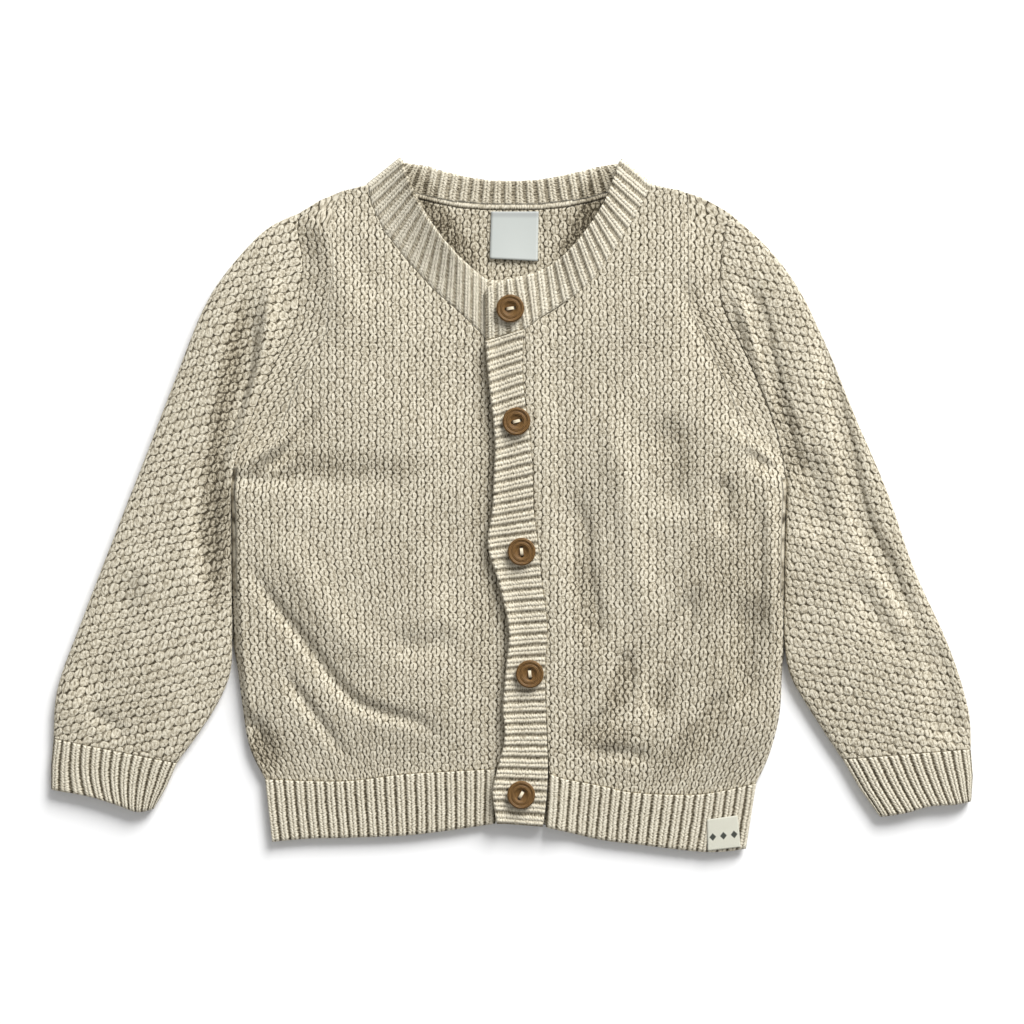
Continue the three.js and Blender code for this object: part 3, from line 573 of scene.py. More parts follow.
def body_stitches(rows, hem_line, wales, mirrored):
    """Stitch coordinates on a front: straight wales, and beside the armhole wales along its edge."""
    underarm = rows[UNDERARM_ROW]
    samples = np.linspace(0, 1, 300)
    edge = through(rows, samples)[:, :2]
    steps = np.diff(edge, axis=0)
    lengths = np.hypot(steps[:, 0], steps[:, 1])
    run = np.concatenate([[0], np.cumsum(lengths)])
    steepness = np.concatenate([np.abs(steps[:, 1]) / lengths, [1]])

    def at(across, along, x, y):
        start = through(rows, along)
        width = np.abs(start[:, 2] - start[:, 0])
        chest = (x - underarm[0]) / (underarm[2] - underarm[0])
        below = smooth(underarm[1], underarm[1] - 20, y) * (1 - smooth(0.3, 0.75, across))
        wale = mix(chest, across, below) * wales
        hem_y = mix(through(evened(hem_line), across)[:, 1], 34, smooth(34, 130, y))
        course = (y - hem_y) / BODY_STITCH[1]
        edge_distance = across * width * np.interp(along, samples, steepness)
        at_underarm = UNDERARM_ROW / (len(rows) - 1)
        beside = (along > at_underarm) & (edge_distance < 15)
        wale = np.where(beside, edge_distance / np.abs(underarm[2] - underarm[0]) * wales, wale)
        climbed = underarm[1] - 34 + np.interp(along, samples, run) - np.interp(at_underarm, samples, run)
        course = np.where(beside, climbed / BODY_STITCH[1], course)
        wale = wale + 0.14 * waver(x, y, 1.3 + mirrored)
        course = course + 0.25 * waver(x, y, 4.1 + mirrored)
        welt = (along < at_underarm) & (edge_distance < SIDE_WELT) & (y > WELT_FOOT)
        wale = np.where(welt, 0.4 + 0.08 * edge_distance, wale)
        course = np.where(welt, y * 0.09, course)
        return np.stack([wale + 400, course + 400], axis=-1)

    return at


def front_mesh(name, rows, plan, hem_line, folds, climbs, mirrored, wales):
    stitches_at = body_stitches(rows, hem_line, wales, mirrored)
    run = through(rows, np.linspace(0, 1, 300))[:, :2]
    length = np.hypot(*np.diff(run, axis=0).T).sum()
    columns = int(wales * POINTS_PER_STITCH)
    courses = int(length / BODY_STITCH[1] * POINTS_PER_STITCH)

    def shape(over, face, along):
        spots = plan(over, along)
        x = spots[:, 0]
        y = spots[:, 1]
        front_fade = mix(FRONT_FADE, NECK_FADE, smooth(190, 250, y))
        side_fade = mix(SIDE_FADE, ARMHOLE_FADE, smooth(184, 216, y))
        sides = smooth(0, side_fade, over) * smooth(0, front_fade, 1 - over)
        puff = PUFF_HEIGHT * sides * smooth(0, PUFF_FADE, along) * smooth(0, PUFF_FADE, 1 - along)
        sunk = FOLD_SHARE * fold_depth(folds, x, y) * np.minimum(1, puff / PUFF_HEIGHT)
        shaped = np.maximum(0, puff - sunk)
        level = FRONT_LEVEL + shaped + (lift(x, y) if climbs else 0)
        stitches = stitches_at(over, along, x, y)
        ends = through(rows, along)
        width = np.abs(ends[:, 2] - ends[:, 0])
        distance = np.minimum(np.minimum(over, 1 - over) * width, np.minimum(along, 1 - along) * length)
        relief = MOSS_RELIEF * (moss(stitches, mirrored, BODY_LOOP) - 0.5) * smooth(0, 1.2, distance)
        open_side = smooth(UNDERARM_ROW / (len(rows) - 1), UNDERARM_ROW / (len(rows) - 1) - 0.04, along)
        fall = np.maximum(edge_fall(distance, SEAM_DROP), edge_fall(over * width, FREE_DROP) * open_side)
        z = np.where(face > 0, level + THICKNESS + relief - fall, level)
        return np.stack([x, y, z], axis=-1), stitches

    return strip(name, columns, 12, courses, shape)


def ribbed_mesh(name, first_edge, second_edge, ribs, level_at, relief_at, drops):
    """Ribs that run from one edge to the other, side by side along them."""

    def shape(over, face, along):
        spots = mix(through(first_edge, along), through(second_edge, along), over[:, None])
        width = np.hypot(*(through(first_edge, along) - through(second_edge, along)).T)
        level = level_at(spots[:, 0], spots[:, 1])
        stitches = np.stack([along * ribs, over * width / RIB_STITCH], axis=-1)
        stitches[:, 0] += 0.05 * waver(spots[:, 0], spots[:, 1], 2.2)
        length = ribs * 5.1
        ends = np.minimum(along, 1 - along) * length
        sewn = edge_fall(over * width, drops[0])
        loose = edge_fall((1 - over) * width, drops[1])
        fall = np.maximum(np.maximum(sewn, loose), edge_fall(ends, drops[2]))
        relief = RIB_RELIEF * ribbing(stitches[:, 0], HEM_CREST) * relief_at(spots[:, 0], spots[:, 1])
        z = np.where(face > 0, level + THICKNESS + relief - fall, level)
        return np.stack([spots[:, 0], spots[:, 1], z], axis=-1), stitches

    return strip(name, 34, 8, ribs * POINTS_PER_RIB, shape)


def sleeve_mesh(name, rows, armhole, folds, stitch, loop, outward):
    rows = np.asarray(rows, float)
    reach = 0.4
    cuff_middle = (rows[-1, :2] + rows[-1, 2:4]) / 2
    cap_middle = np.array([outward * 121, 262])
    axis = (cuff_middle - cap_middle) / np.hypot(*(cuff_middle - cap_middle))
    sideways = np.array([-axis[1], axis[0]])

    def shape(over, side, along, inset):
        here = through(rows, along)
        outer = here[:, :2]
        inner = here[:, 2:4]
        height = here[:, 4]
        width = np.hypot(*(inner - outer).T)
        share = mix(inset / width, 1 - inset / width, over)
        pull = (np.clip(1 - along / reach, 0, 1) ** 1.5)[:, None]
        first = mix(rows[0, :2], rows[0, 2:4], share[:, None])
        spots = mix(outer, inner, share[:, None]) + pull * (through(armhole, share) - first)
        eased = smooth(0, 0.06, along) * (1 - smooth(0.06, 0.6, along))
        spots[:, 0] += outward * 12 * share * (1 - share) * eased
        x = spots[:, 0]
        y = spots[:, 1]
        crown = section_shape(over)
        share_up = np.where(side < 0, np.minimum(1, 1.12 * crown), crown)
        z = height / 2 + side * (height / 2 - inset) * share_up
        welt = 0.15 * np.exp(-(((along - 0.045) / 0.03) ** 2)) * crown
        fade = smooth(0, 0.08, along) * smooth(0, 0.08, 1 - along)
        slump = SLEEVE_SLUMP * smooth(0.6, 0.95, over) * smooth(0.2, 0.4, along)
        depth = (FOLD_SHARE * fold_depth(folds, x, y) + slump * (1 - smooth(0.8, 1, along))) * crown * fade
        room = height / 2 - THICKNESS
        z = z + np.where(side > 0, welt - np.minimum(depth, room * (1 + crown) - 0.4), 0)
        wrap = np.sign(over - 0.5) * (height / 2) * (1 - crown)
        from_middle = spots - cap_middle
        wale = (from_middle @ sideways - outward * wrap) / stitch[0] + 0.25 * waver(x, y, 3.3 + outward)
        course = from_middle @ axis / stitch[1] + 0.3 * waver(x, y, 5.9 + outward)
        stitches = np.stack([wale + 400, course + 400], axis=-1)
        ends = np.minimum(along * 130, (1 - along) * 250)
        relief = SLEEVE_RELIEF * (moss(stitches, 7 + outward, loop) - 0.5) * smooth(0, 1.2, ends)
        relief = np.where(side > 0, relief, relief * smooth(0.8, 0.3, crown))
        drop = edge_fall(ends, SEAM_DROP)
        outside = inset == 0
        z = z + np.where(outside & (side > 0), relief * crown - drop, 0)
        bulge = np.where(outside, relief * (1 - crown) * np.sign(over - 0.5) * -outward, 0)
        return np.stack([x + bulge, y, np.maximum(z, 0)], axis=-1), stitches

    return tube(name, 100, 36, 380, 14, 62, 8, shape)


def armhole_of(rows, outward):
    down = np.linspace(1, UNDERARM_ROW / (len(rows) - 1), 40)
    line = through(rows, down)[:, :2].copy()
    line[:, 0] += outward * SEAM_GAP
    return line


def cuff_mesh(name, rows, edge, outward):
    rows = np.asarray(rows, float)

    def shape(over, side, along, inset):
        here = straight(rows, along)
        outer = here[:, :2]
        inner = here[:, 2:4]
        width = np.hypot(*(inner - outer).T)
        share = mix(inset / width, 1 - inset / width, over)
        pull = (along**2)[:, None]
        last = mix(rows[-1, :2], rows[-1, 2:4], share[:, None])
        spots = mix(outer, inner, share[:, None]) + pull * (through(edge, share) - last)
        crown = section_shape(over)
        share_up = np.where(side < 0, np.minimum(1, 1.12 * crown), crown)
        z = CUFF_HEIGHT / 2 + side * (CUFF_HEIGHT / 2 - inset) * share_up
        around = over * CUFF_RIBS + np.sign(over - 0.5) * 0.6 * (1 - crown)
        stitches = np.stack([around + 0.1, along * 27 / RIB_STITCH], axis=-1)
        outside = inset == 0
        relief = RIB_RELIEF * ribbing(stitches[:, 0], HEM_CREST)
        fall = np.maximum(edge_fall(along * 27, SEAM_DROP), edge_fall((1 - along) * 27, FREE_DROP))
        z = z + np.where(outside & (side > 0), relief * crown - fall, 0)
        return np.stack([spots[:, 0], spots[:, 1], np.maximum(z, 0)], axis=-1), stitches

    return tube(name, CUFF_RIBS * POINTS_PER_RIB, 40, 36, 6, 60, CUFF_HEIGHT, shape)


def neckband_mesh(name):
    rows = np.asarray(NECKBAND, float)
    radius = LAYER_STEP / 2
    middle = (rows[:, :2] + rows[:, 2:4]) / 2
    steps = np.hypot(*np.diff(middle, axis=0).T)
    steps[np.diff(rows[:, 4]) != 0] = math.pi * radius
    lengths = np.concatenate([[0], np.cumsum(steps)])
    total = lengths[-1]

    def shape(over, face, along):
        at = along * total
        values = np.stack([np.interp(at, lengths, rows[:, column]) for column in range(7)], axis=-1)
        width = np.hypot(*(values[:, :2] - values[:, 2:4]).T)
        turn = np.radians(values[:, 4])
        reach = (NECK_REACH + NECK_LIFT_REACH * values[:, 6]) * smooth(0.5, 1, np.cos(turn))
        spots = mix(values[:, :2], values[:, 2:4], (over - (1 - over) * reach / width)[:, None])
        outward = np.stack([np.sign(spots[:, 0]) * 0.65 * np.sin(turn), 0.76 * np.sin(turn)], axis=-1)
        stand = NECK_STAND * np.clip(over, 0, 1) ** 1.5 * smooth(14, 30, np.abs(spots[:, 0]))
        level = radius + THICKNESS / 2 + stand + (radius + stand) * np.cos(turn) + LAYER_STEP * values[:, 6]
        centre = np.concatenate([spots + radius * outward, level[:, None]], axis=-1)
        normal = np.concatenate([outward, np.cos(turn)[:, None]], axis=-1)
        stitches = np.stack([along * NECK_RIBS, over * width / RIB_STITCH], axis=-1)
        shown = np.where(face > 0, np.cos(turn) > 0.3, np.cos(turn) < -0.9)
        fall = np.maximum(edge_fall(over * width, SEAM_DROP), edge_fall((1 - over) * width, FREE_DROP))
        fall = np.maximum(fall, edge_fall(np.minimum(along, 1 - along) * total, FREE_DROP))
        foot = 0.3 + 0.7 * smooth(0, 3, over * width)
        relief = NECK_RELIEF * ribbing(stitches[:, 0], NECK_CREST) * values[:, 5] * foot
        roll = (turn > 3) & (over * width < NECK_ROLL)
        round_up = 0.4 * np.sqrt(np.clip(1 - (2 * over * width / NECK_ROLL - 1) ** 2, 0, 1))
        relief = np.where(roll, round_up, relief)
        fall = np.where(roll, 0, fall)
        stitches[:, 1] = np.where(roll, stitches[:, 0] * 3.2, stitches[:, 1])
        stitches[:, 0] = np.where(roll, 0.5 * NECK_CREST * over * width / NECK_ROLL, stitches[:, 0])
        rise = THICKNESS / 2 + np.where(shown, relief - fall, 0)
        return centre + normal * (face * rise)[:, None], stitches

    return strip(name, 28, 24, NECK_RIBS * POINTS_PER_RIB, shape)


# Node groups


def node(tree, kind, **values):
    made = tree.nodes.new(kind)
    for key, value in values.items():
        setattr(made, key, value)
    return made


def maths(tree, operation, first, second=None, clamp=False):
    made = node(tree, "ShaderNodeMath", operation=operation, use_clamp=clamp)
    for index, value in enumerate((first, second)):
        if value is None:
            continue
        if isinstance(value, (int, float)):
            made.inputs[index].default_value = value
        else:
            tree.links.new(value, made.inputs[index])
    return made.outputs[0]


def ramp(tree, value, start, end):
    made = node(tree, "ShaderNodeMapRange", interpolation_type="SMOOTHSTEP")
    tree.links.new(value, made.inputs["Value"])
    made.inputs["From Min"].default_value = start
    made.inputs["From Max"].default_value = end
    return made.outputs["Result"]


def new_group(name, inputs, outputs):
    group = bpy.data.node_groups.new(name, "ShaderNodeTree")
    for label, kind in inputs:
        group.interface.new_socket(label, in_out="INPUT", socket_type=kind)
    for label, kind in outputs:
        group.interface.new_socket(label, in_out="OUTPUT", socket_type=kind)
    return group, group.nodes.new("NodeGroupInput"), group.nodes.new("NodeGroupOutput")


def cell(tree, u, v, side_weight, along_weight, slant):
    """Rounded cells, each column half a cell on from the last: height, column, row."""
    column = maths(tree, "FLOOR", u)
    side = maths(tree, "SUBTRACT", maths(tree, "SUBTRACT", u, column), 0.5)
    down = maths(tree, "ADD", v, maths(tree, "MULTIPLY", maths(tree, "MODULO", column, 2), 0.5))
    row = maths(tree, "FLOOR", down)
    along = maths(tree, "SUBTRACT", maths(tree, "SUBTRACT", down, row), 0.5)
    side_part = maths(tree, "MULTIPLY", maths(tree, "MULTIPLY", side, side), side_weight)
    along_part = maths(tree, "MULTIPLY", maths(tree, "MULTIPLY", along, along), along_weight)
    slant_part = maths(tree, "MULTIPLY", maths(tree, "MULTIPLY", side, along), slant)
    fall = maths(tree, "SUBTRACT", maths(tree, "ADD", side_part, along_part), slant_part)
    inside = maths(tree, "SUBTRACT", 1, fall, clamp=True)
    return maths(tree, "SQRT", inside), column, row


def random_at(tree, column, row):
    which = node(tree, "ShaderNodeCombineXYZ")
    tree.links.new(column, which.inputs[0])
    tree.links.new(row, which.inputs[1])
    noise = node(tree, "ShaderNodeTexWhiteNoise", noise_dimensions="2D")
    tree.links.new(which.outputs[0], noise.inputs["Vector"])
    return noise.outputs["Value"]


def wobbled(tree, stitches, scale, amount):
    """Stitch coordinates a little uneven, as hand-spun yarn makes them: u and v."""
    noise = node(tree, "ShaderNodeTexNoise", noise_dimensions="2D")
    noise.inputs["Scale"].default_value = scale
    noise.inputs["Detail"].default_value = 1
    tree.links.new(stitches, noise.inputs["Vector"])
    parts = node(tree, "ShaderNodeSeparateXYZ")
    shifts = node(tree, "ShaderNodeSeparateXYZ")
    tree.links.new(stitches, parts.inputs[0])
    tree.links.new(noise.outputs["Color"], shifts.inputs[0])
    moved = []
    for axis in ("X", "Y"):
        shift = maths(tree, "MULTIPLY", maths(tree, "SUBTRACT", shifts.outputs[axis], 0.5), amount)
        moved.append(maths(tree, "ADD", parts.outputs[axis], shift))
    return moved


def moss_group():
    """Moss stitch: loops with a gap round each and one in its middle, and a number for each."""
    tree, given, out = new_group(
        "moss stitch",
        [
            ("Stitches", "NodeSocketVector"), ("Side", "NodeSocketFloat"), ("Along", "NodeSocketFloat"),
            ("Slant", "NodeSocketFloat"), ("Edge", "NodeSocketFloat"), ("Gap", "NodeSocketFloat"),
        ],
        [("Height", "NodeSocketFloat"), ("Loop", "NodeSocketFloat")],
    )
    u, v = wobbled(tree, given.outputs["Stitches"], 1.7, 0.2)
    weights = [given.outputs[name] for name in ("Side", "Along", "Slant")]
    pebble, column, row = cell(tree, u, v, *weights)
    outline = maths(tree, "SUBTRACT", 1, ramp(tree, pebble, 0, 0.5))
    outline = maths(tree, "ADD", outline, maths(tree, "MULTIPLY", maths(tree, "SUBTRACT", 1, pebble), 0.25))
    number = random_at(tree, column, row)
    gap = cell(tree, u, v, 90, 8, 0)[0]
    strength = maths(tree, "ADD", maths(tree, "MULTIPLY", number, 0.6), 0.5)
    gaps = maths(tree, "MULTIPLY", maths(tree, "MULTIPLY", gap, strength), given.outputs["Gap"])
    edges = maths(tree, "MULTIPLY", outline, given.outputs["Edge"])
    tree.links.new(maths(tree, "SUBTRACT", maths(tree, "SUBTRACT", 1, edges), gaps), out.inputs["Height"])
    tree.links.new(number, out.inputs["Loop"])
    return tree


def rib_group():
    """Ribbing: two strands of leaning loops on each crest, then a groove."""
    tree, given, out = new_group(
        "rib stitch",
        [("Stitches", "NodeSocketVector"), ("Crest", "NodeSocketFloat"), ("Floor", "NodeSocketFloat")],
        [("Height", "NodeSocketFloat"), ("Loop", "NodeSocketFloat")],
    )
    u, v = wobbled(tree, given.outputs["Stitches"], 1.1, 0.16)
    crest = maths(tree, "DIVIDE", maths(tree, "FRACT", u), given.outputs["Crest"])
    inside = maths(tree, "LESS_THAN", crest, 1)
    strand = maths(tree, "SUBTRACT", maths(tree, "FRACT", maths(tree, "MULTIPLY", crest, 2)), 0.5)
    lean = maths(tree, "SUBTRACT", maths(tree, "MULTIPLY", maths(tree, "GREATER_THAN", crest, 0.5), 2), 1)
    slanted = maths(tree, "ADD", v, maths(tree, "MULTIPLY", maths(tree, "MULTIPLY", strand, lean), 0.9))
    row = maths(tree, "FLOOR", slanted)
    along = maths(tree, "SUBTRACT", maths(tree, "SUBTRACT", slanted, row), 0.5)
    side_part = maths(tree, "MULTIPLY", maths(tree, "MULTIPLY", strand, strand), 3.4)
    along_part = maths(tree, "MULTIPLY", maths(tree, "MULTIPLY", along, along), 1.9)
    fall = maths(tree, "ADD", side_part, along_part)
    loops = maths(tree, "SQRT", maths(tree, "SUBTRACT", 1, fall, clamp=True))
    raised = maths(tree, "MULTIPLY", maths(tree, "ADD", maths(tree, "MULTIPLY", loops, 0.62), 0.38), inside)
    ladder = maths(tree, "ABSOLUTE", maths(tree, "SUBTRACT", maths(tree, "FRACT", v), 0.5))
    rungs = maths(tree, "ADD", maths(tree, "MULTIPLY", ladder, 0.5), given.outputs["Floor"])
    groove = maths(tree, "MULTIPLY", rungs, maths(tree, "SUBTRACT", 1, inside))
    tree.links.new(maths(tree, "ADD", raised, groove), out.inputs["Height"])
    column = maths(tree, "FLOOR", maths(tree, "MULTIPLY", crest, 2))
    tree.links.new(random_at(tree, column, row), out.inputs["Loop"])
    return tree


def yarn_group():
    """Cotton yarn: its colour from the loops' own cream, with painted highlights on the plies, down to painted shade
    in the gaps between loops; and the height of its plies.
    """
    tree, given, out = new_group(
        "cotton yarn",
        [
            ("Height", "NodeSocketFloat"), ("Loop", "NodeSocketFloat"),
            ("Stitches", "NodeSocketVector"), ("Shade", "NodeSocketFloat"), ("Depth", "NodeSocketFloat"),
        ],
        [("Colour", "NodeSocketColor"), ("Relief", "NodeSocketFloat")],
    )
    plies = node(tree, "ShaderNodeTexNoise", noise_dimensions="2D")
    plies.inputs["Scale"].default_value = 3.2
    plies.inputs["Detail"].default_value = 1
    plies.inputs["Roughness"].default_value = 0.6
    tree.links.new(given.outputs["Stitches"], plies.inputs["Vector"])
    # Painted highlights: the tops of the plies are made lighter
    painted_ply_highlight = ramp(tree, plies.outputs["Fac"], 0.34, 0.64)
    place = node(tree, "ShaderNodeTexCoord")
    broad = node(tree, "ShaderNodeTexNoise")
    broad.inputs["Scale"].default_value = 26
    broad.inputs["Detail"].default_value = 2
    tree.links.new(place.outputs["Object"], broad.inputs["Vector"])
    # Painted shade: the lower a spot sits in its stitch, the darker its colour, by Depth, down to near black in the
    # gaps
    below = maths(tree, "SUBTRACT", given.outputs["Height"], 0.9)
    sunk = maths(tree, "MULTIPLY", below, given.outputs["Depth"])
    tone = maths(tree, "ADD", maths(tree, "ADD", sunk, 0.6), maths(tree, "MULTIPLY", painted_ply_highlight, 0.28))
    tone = maths(tree, "SUBTRACT", tone, given.outputs["Shade"])
    tone = maths(tree, "ADD", tone, maths(tree, "MULTIPLY", given.outputs["Loop"], 0.1))
    uneven = maths(tree, "SUBTRACT", broad.outputs["Fac"], 0.5)
    tone = maths(tree, "ADD", tone, maths(tree, "MULTIPLY", uneven, 0.1))
    # The ramp runs from the near black of the painted shade up to the yarn's own cream
    colours = node(tree, "ShaderNodeValToRGB")
    stops = colours.color_ramp.elements
    stops[0].position = 0.18
    stops[0].color = (0.06, 0.048, 0.028, 1)
    stops[1].position = 0.95
    stops[1].color = (0.78, 0.73, 0.60, 1)
    for position, colour in ((0.42, (0.30, 0.26, 0.185, 1)), (0.62, (0.53, 0.48, 0.37, 1))):
        stops.new(position).color = colour
    tree.links.new(tone, colours.inputs["Fac"])
    tree.links.new(colours.outputs["Color"], out.inputs["Colour"])
    relief = maths(tree, "ADD", given.outputs["Height"], maths(tree, "MULTIPLY", plies.outputs["Fac"], 0.4))
    tree.links.new(relief, out.inputs["Relief"])
    return tree


def painted_shade_group():
    """A soft-edged oval, leaning with its height: 1 at its middle, 0 outside; the mask of a spot of painted shade."""
    tree, given, out = new_group(
        "painted_shade", [(name, "NodeSocketFloat") for name in ("X", "Y", "Half width", "Half height", "Lean")],
        [("Mask", "NodeSocketFloat")],
    )
    place = node(tree, "ShaderNodeTexCoord")
    parts = node(tree, "ShaderNodeSeparateXYZ")
    tree.links.new(place.outputs["Object"], parts.inputs[0])
    up = maths(tree, "SUBTRACT", parts.outputs["Y"], given.outputs["Y"])
    across = maths(tree, "SUBTRACT", parts.outputs["X"], given.outputs["X"])
    across = maths(tree, "SUBTRACT", across, maths(tree, "MULTIPLY", up, given.outputs["Lean"]))
    across = maths(tree, "DIVIDE", across, given.outputs["Half width"])
    up = maths(tree, "DIVIDE", up, given.outputs["Half height"])
    squares = maths(tree, "ADD", maths(tree, "MULTIPLY", across, across), maths(tree, "MULTIPLY", up, up))
    tree.links.new(ramp(tree, squares, 1, 0), out.inputs["Mask"])
    return tree


def place_group(tree, group):
    made = node(tree, "ShaderNodeGroup")
    made.node_tree = group
    return made


def new_material(name, roughness):
    material = bpy.data.materials.new(name)
    material.use_nodes = True
    shader = material.node_tree.nodes["Principled BSDF"]
    shader.inputs["Roughness"].default_value = roughness
    return material, material.node_tree, shader


def bump(tree, height, distance, strength):
    made = node(tree, "ShaderNodeBump")
    made.inputs["Distance"].default_value = distance
    made.inputs["Strength"].default_value = strength
    tree.links.new(height, made.inputs["Height"])
    return made.outputs["Normal"]


def knit_material(name, pattern, yarn, painted_shade, shade, depth, painted_shade_spots, **settings):
    material, tree, shader = new_material(name, 0.95)
    shader.inputs["Sheen Weight"].default_value = 0.08
    shader.inputs["Specular IOR Level"].default_value = 0.15
    place = node(tree, "ShaderNodeUVMap", uv_map="knit")
    loops = place_group(tree, pattern)
    tree.links.new(place.outputs["UV"], loops.inputs["Stitches"])
    for key, value in settings.items():
        loops.inputs[key].default_value = value
    cotton = place_group(tree, yarn)
    # Depth: how strongly painted shade darkens the gaps between loops
    cotton.inputs["Depth"].default_value = depth
    darker = maths(tree, "ADD", shade, 0)
    # Painted shade: each spot darkens the yarn's colour by its amount, standing in for the shade in folds and under
    # raised edges
    for x, y, half_width, half_height, lean, amount in painted_shade_spots:
        spot = place_group(tree, painted_shade)
        spot.inputs["X"].default_value = (x + OFFSET[0]) * MM
        spot.inputs["Y"].default_value = (y + OFFSET[1]) * MM
        spot.inputs["Half width"].default_value = half_width * MM
        spot.inputs["Half height"].default_value = half_height * MM
        spot.inputs["Lean"].default_value = lean
        darker = maths(tree, "ADD", darker, maths(tree, "MULTIPLY", spot.outputs["Mask"], amount))
    tree.links.new(darker, cotton.inputs["Shade"])
    tree.links.new(loops.outputs["Height"], cotton.inputs["Height"])
    tree.links.new(loops.outputs["Loop"], cotton.inputs["Loop"])
    tree.links.new(place.outputs["UV"], cotton.inputs["Stitches"])
    tree.links.new(cotton.outputs["Colour"], shader.inputs["Base Color"])
    tree.links.new(bump(tree, cotton.outputs["Relief"], 0.0007, 1.0), shader.inputs["Normal"])
    return material


def wood_material():
    """Turned wood: rings round the button's middle, a little uneven."""
    material, tree, shader = new_material("button wood", 0.55)
    shader.inputs["Specular IOR Level"].default_value = 0.25
    place = node(tree, "ShaderNodeUVMap", uv_map="knit")
    noise = node(tree, "ShaderNodeTexNoise")
    noise.inputs["Scale"].default_value = 1.2
    noise.inputs["Detail"].default_value = 4
    tree.links.new(place.outputs["UV"], noise.inputs["Vector"])
    length = node(tree, "ShaderNodeVectorMath", operation="LENGTH")
    tree.links.new(place.outputs["UV"], length.inputs[0])
    uneven = maths(tree, "ADD", length.outputs["Value"], noise.outputs["Fac"])
    rings = maths(tree, "SINE", maths(tree, "MULTIPLY", uneven, 9))
    streaks = maths(tree, "MULTIPLY", noise.outputs["Fac"], 1.2)
    grain = ramp(tree, maths(tree, "ADD", rings, streaks), -0.8, 2.0)
    tint = node(tree, "ShaderNodeMix", data_type="RGBA")
    tree.links.new(grain, tint.inputs["Factor"])
    tint.inputs["A"].default_value = (0.038, 0.015, 0.003, 1)
    tint.inputs["B"].default_value = (0.24, 0.13, 0.04, 1)
    tree.links.new(tint.outputs["Result"], shader.inputs["Base Color"])
    tree.links.new(bump(tree, grain, 0.0002, 0.5), shader.inputs["Normal"])
    return material


def thread_material():
    material, tree, shader = new_material("sewing thread", 0.8)
    shader.inputs["Base Color"].default_value = (0.72, 0.64, 0.48, 1)
    place = node(tree, "ShaderNodeTexCoord")
    wave = node(tree, "ShaderNodeTexWave")
    wave.inputs["Scale"].default_value = 900
    tree.links.new(place.outputs["Object"], wave.inputs["Vector"])
    tree.links.new(bump(tree, wave.outputs["Fac"], 0.0001, 0.5), shader.inputs["Normal"])
    return material


def satin_material():
    """White satin ribbon: fine weft ribs and a soft shine, with painted shade along its top, under the neckband."""
    material, tree, shader = new_material("neck label satin", 0.42)
    shader.inputs["Sheen Weight"].default_value = 0.3
    place = node(tree, "ShaderNodeUVMap", uv_map="knit")
    parts = node(tree, "ShaderNodeSeparateXYZ")
    tree.links.new(place.outputs["UV"], parts.inputs[0])
    # Painted shade: the top of the label, where it goes under the neckband, is made darker
    tint = node(tree, "ShaderNodeMix", data_type="RGBA")
    tree.links.new(ramp(tree, parts.outputs["Y"], 0.84, 0.93), tint.inputs["Factor"])
    tint.inputs["A"].default_value = (0.46, 0.485, 0.46, 1)
    tint.inputs["B"].default_value = (0.36, 0.375, 0.36, 1)
    tree.links.new(tint.outputs["Result"], shader.inputs["Base Color"])
    wave = node(tree, "ShaderNodeTexWave", bands_direction="Y")
    wave.inputs["Scale"].default_value = 22
    wave.inputs["Distortion"].default_value = 1.5
    tree.links.new(place.outputs["UV"], wave.inputs["Vector"])
    tree.links.new(bump(tree, wave.outputs["Fac"], 0.00006, 0.4), shader.inputs["Normal"])
    return material


def woven_material():
    """Woven tape with a row of small dark diamonds."""
    material, tree, shader = new_material("hem label tape", 0.85)
    place = node(tree, "ShaderNodeUVMap", uv_map="knit")
    parts = node(tree, "ShaderNodeSeparateXYZ")
    tree.links.new(place.outputs["UV"], parts.inputs[0])
    repeat = maths(tree, "FRACT", maths(tree, "MULTIPLY", parts.outputs["X"], 3))
    across = maths(tree, "ABSOLUTE", maths(tree, "SUBTRACT", repeat, 0.5))
    height = maths(tree, "ABSOLUTE", maths(tree, "SUBTRACT", parts.outputs["Y"], 0.42))
    up = maths(tree, "MULTIPLY", height, 2.6)
    diamond = ramp(tree, maths(tree, "ADD", across, up), 0.36, 0.28)
    weave = node(tree, "ShaderNodeTexChecker")
    weave.inputs["Scale"].default_value = 70
    tree.links.new(place.outputs["UV"], weave.inputs["Vector"])
    ground = node(tree, "ShaderNodeMix", data_type="RGBA")
    tree.links.new(weave.outputs["Fac"], ground.inputs["Factor"])
    ground.inputs["A"].default_value = (0.58, 0.57, 0.47, 1)
    ground.inputs["B"].default_value = (0.68, 0.67, 0.57, 1)
    tint = node(tree, "ShaderNodeMix", data_type="RGBA")
    tree.links.new(diamond, tint.inputs["Factor"])
    tree.links.new(ground.outputs["Result"], tint.inputs["A"])
    tint.inputs["B"].default_value = (0.05, 0.055, 0.045, 1)
    tree.links.new(tint.outputs["Result"], shader.inputs["Base Color"])
    tree.links.new(bump(tree, weave.outputs["Fac"], 0.0001, 0.6), shader.inputs["Normal"])
    return material


# Pieces

moss_pattern = moss_group()
rib_pattern = rib_group()
yarn = yarn_group()
painted_shade = painted_shade_group()

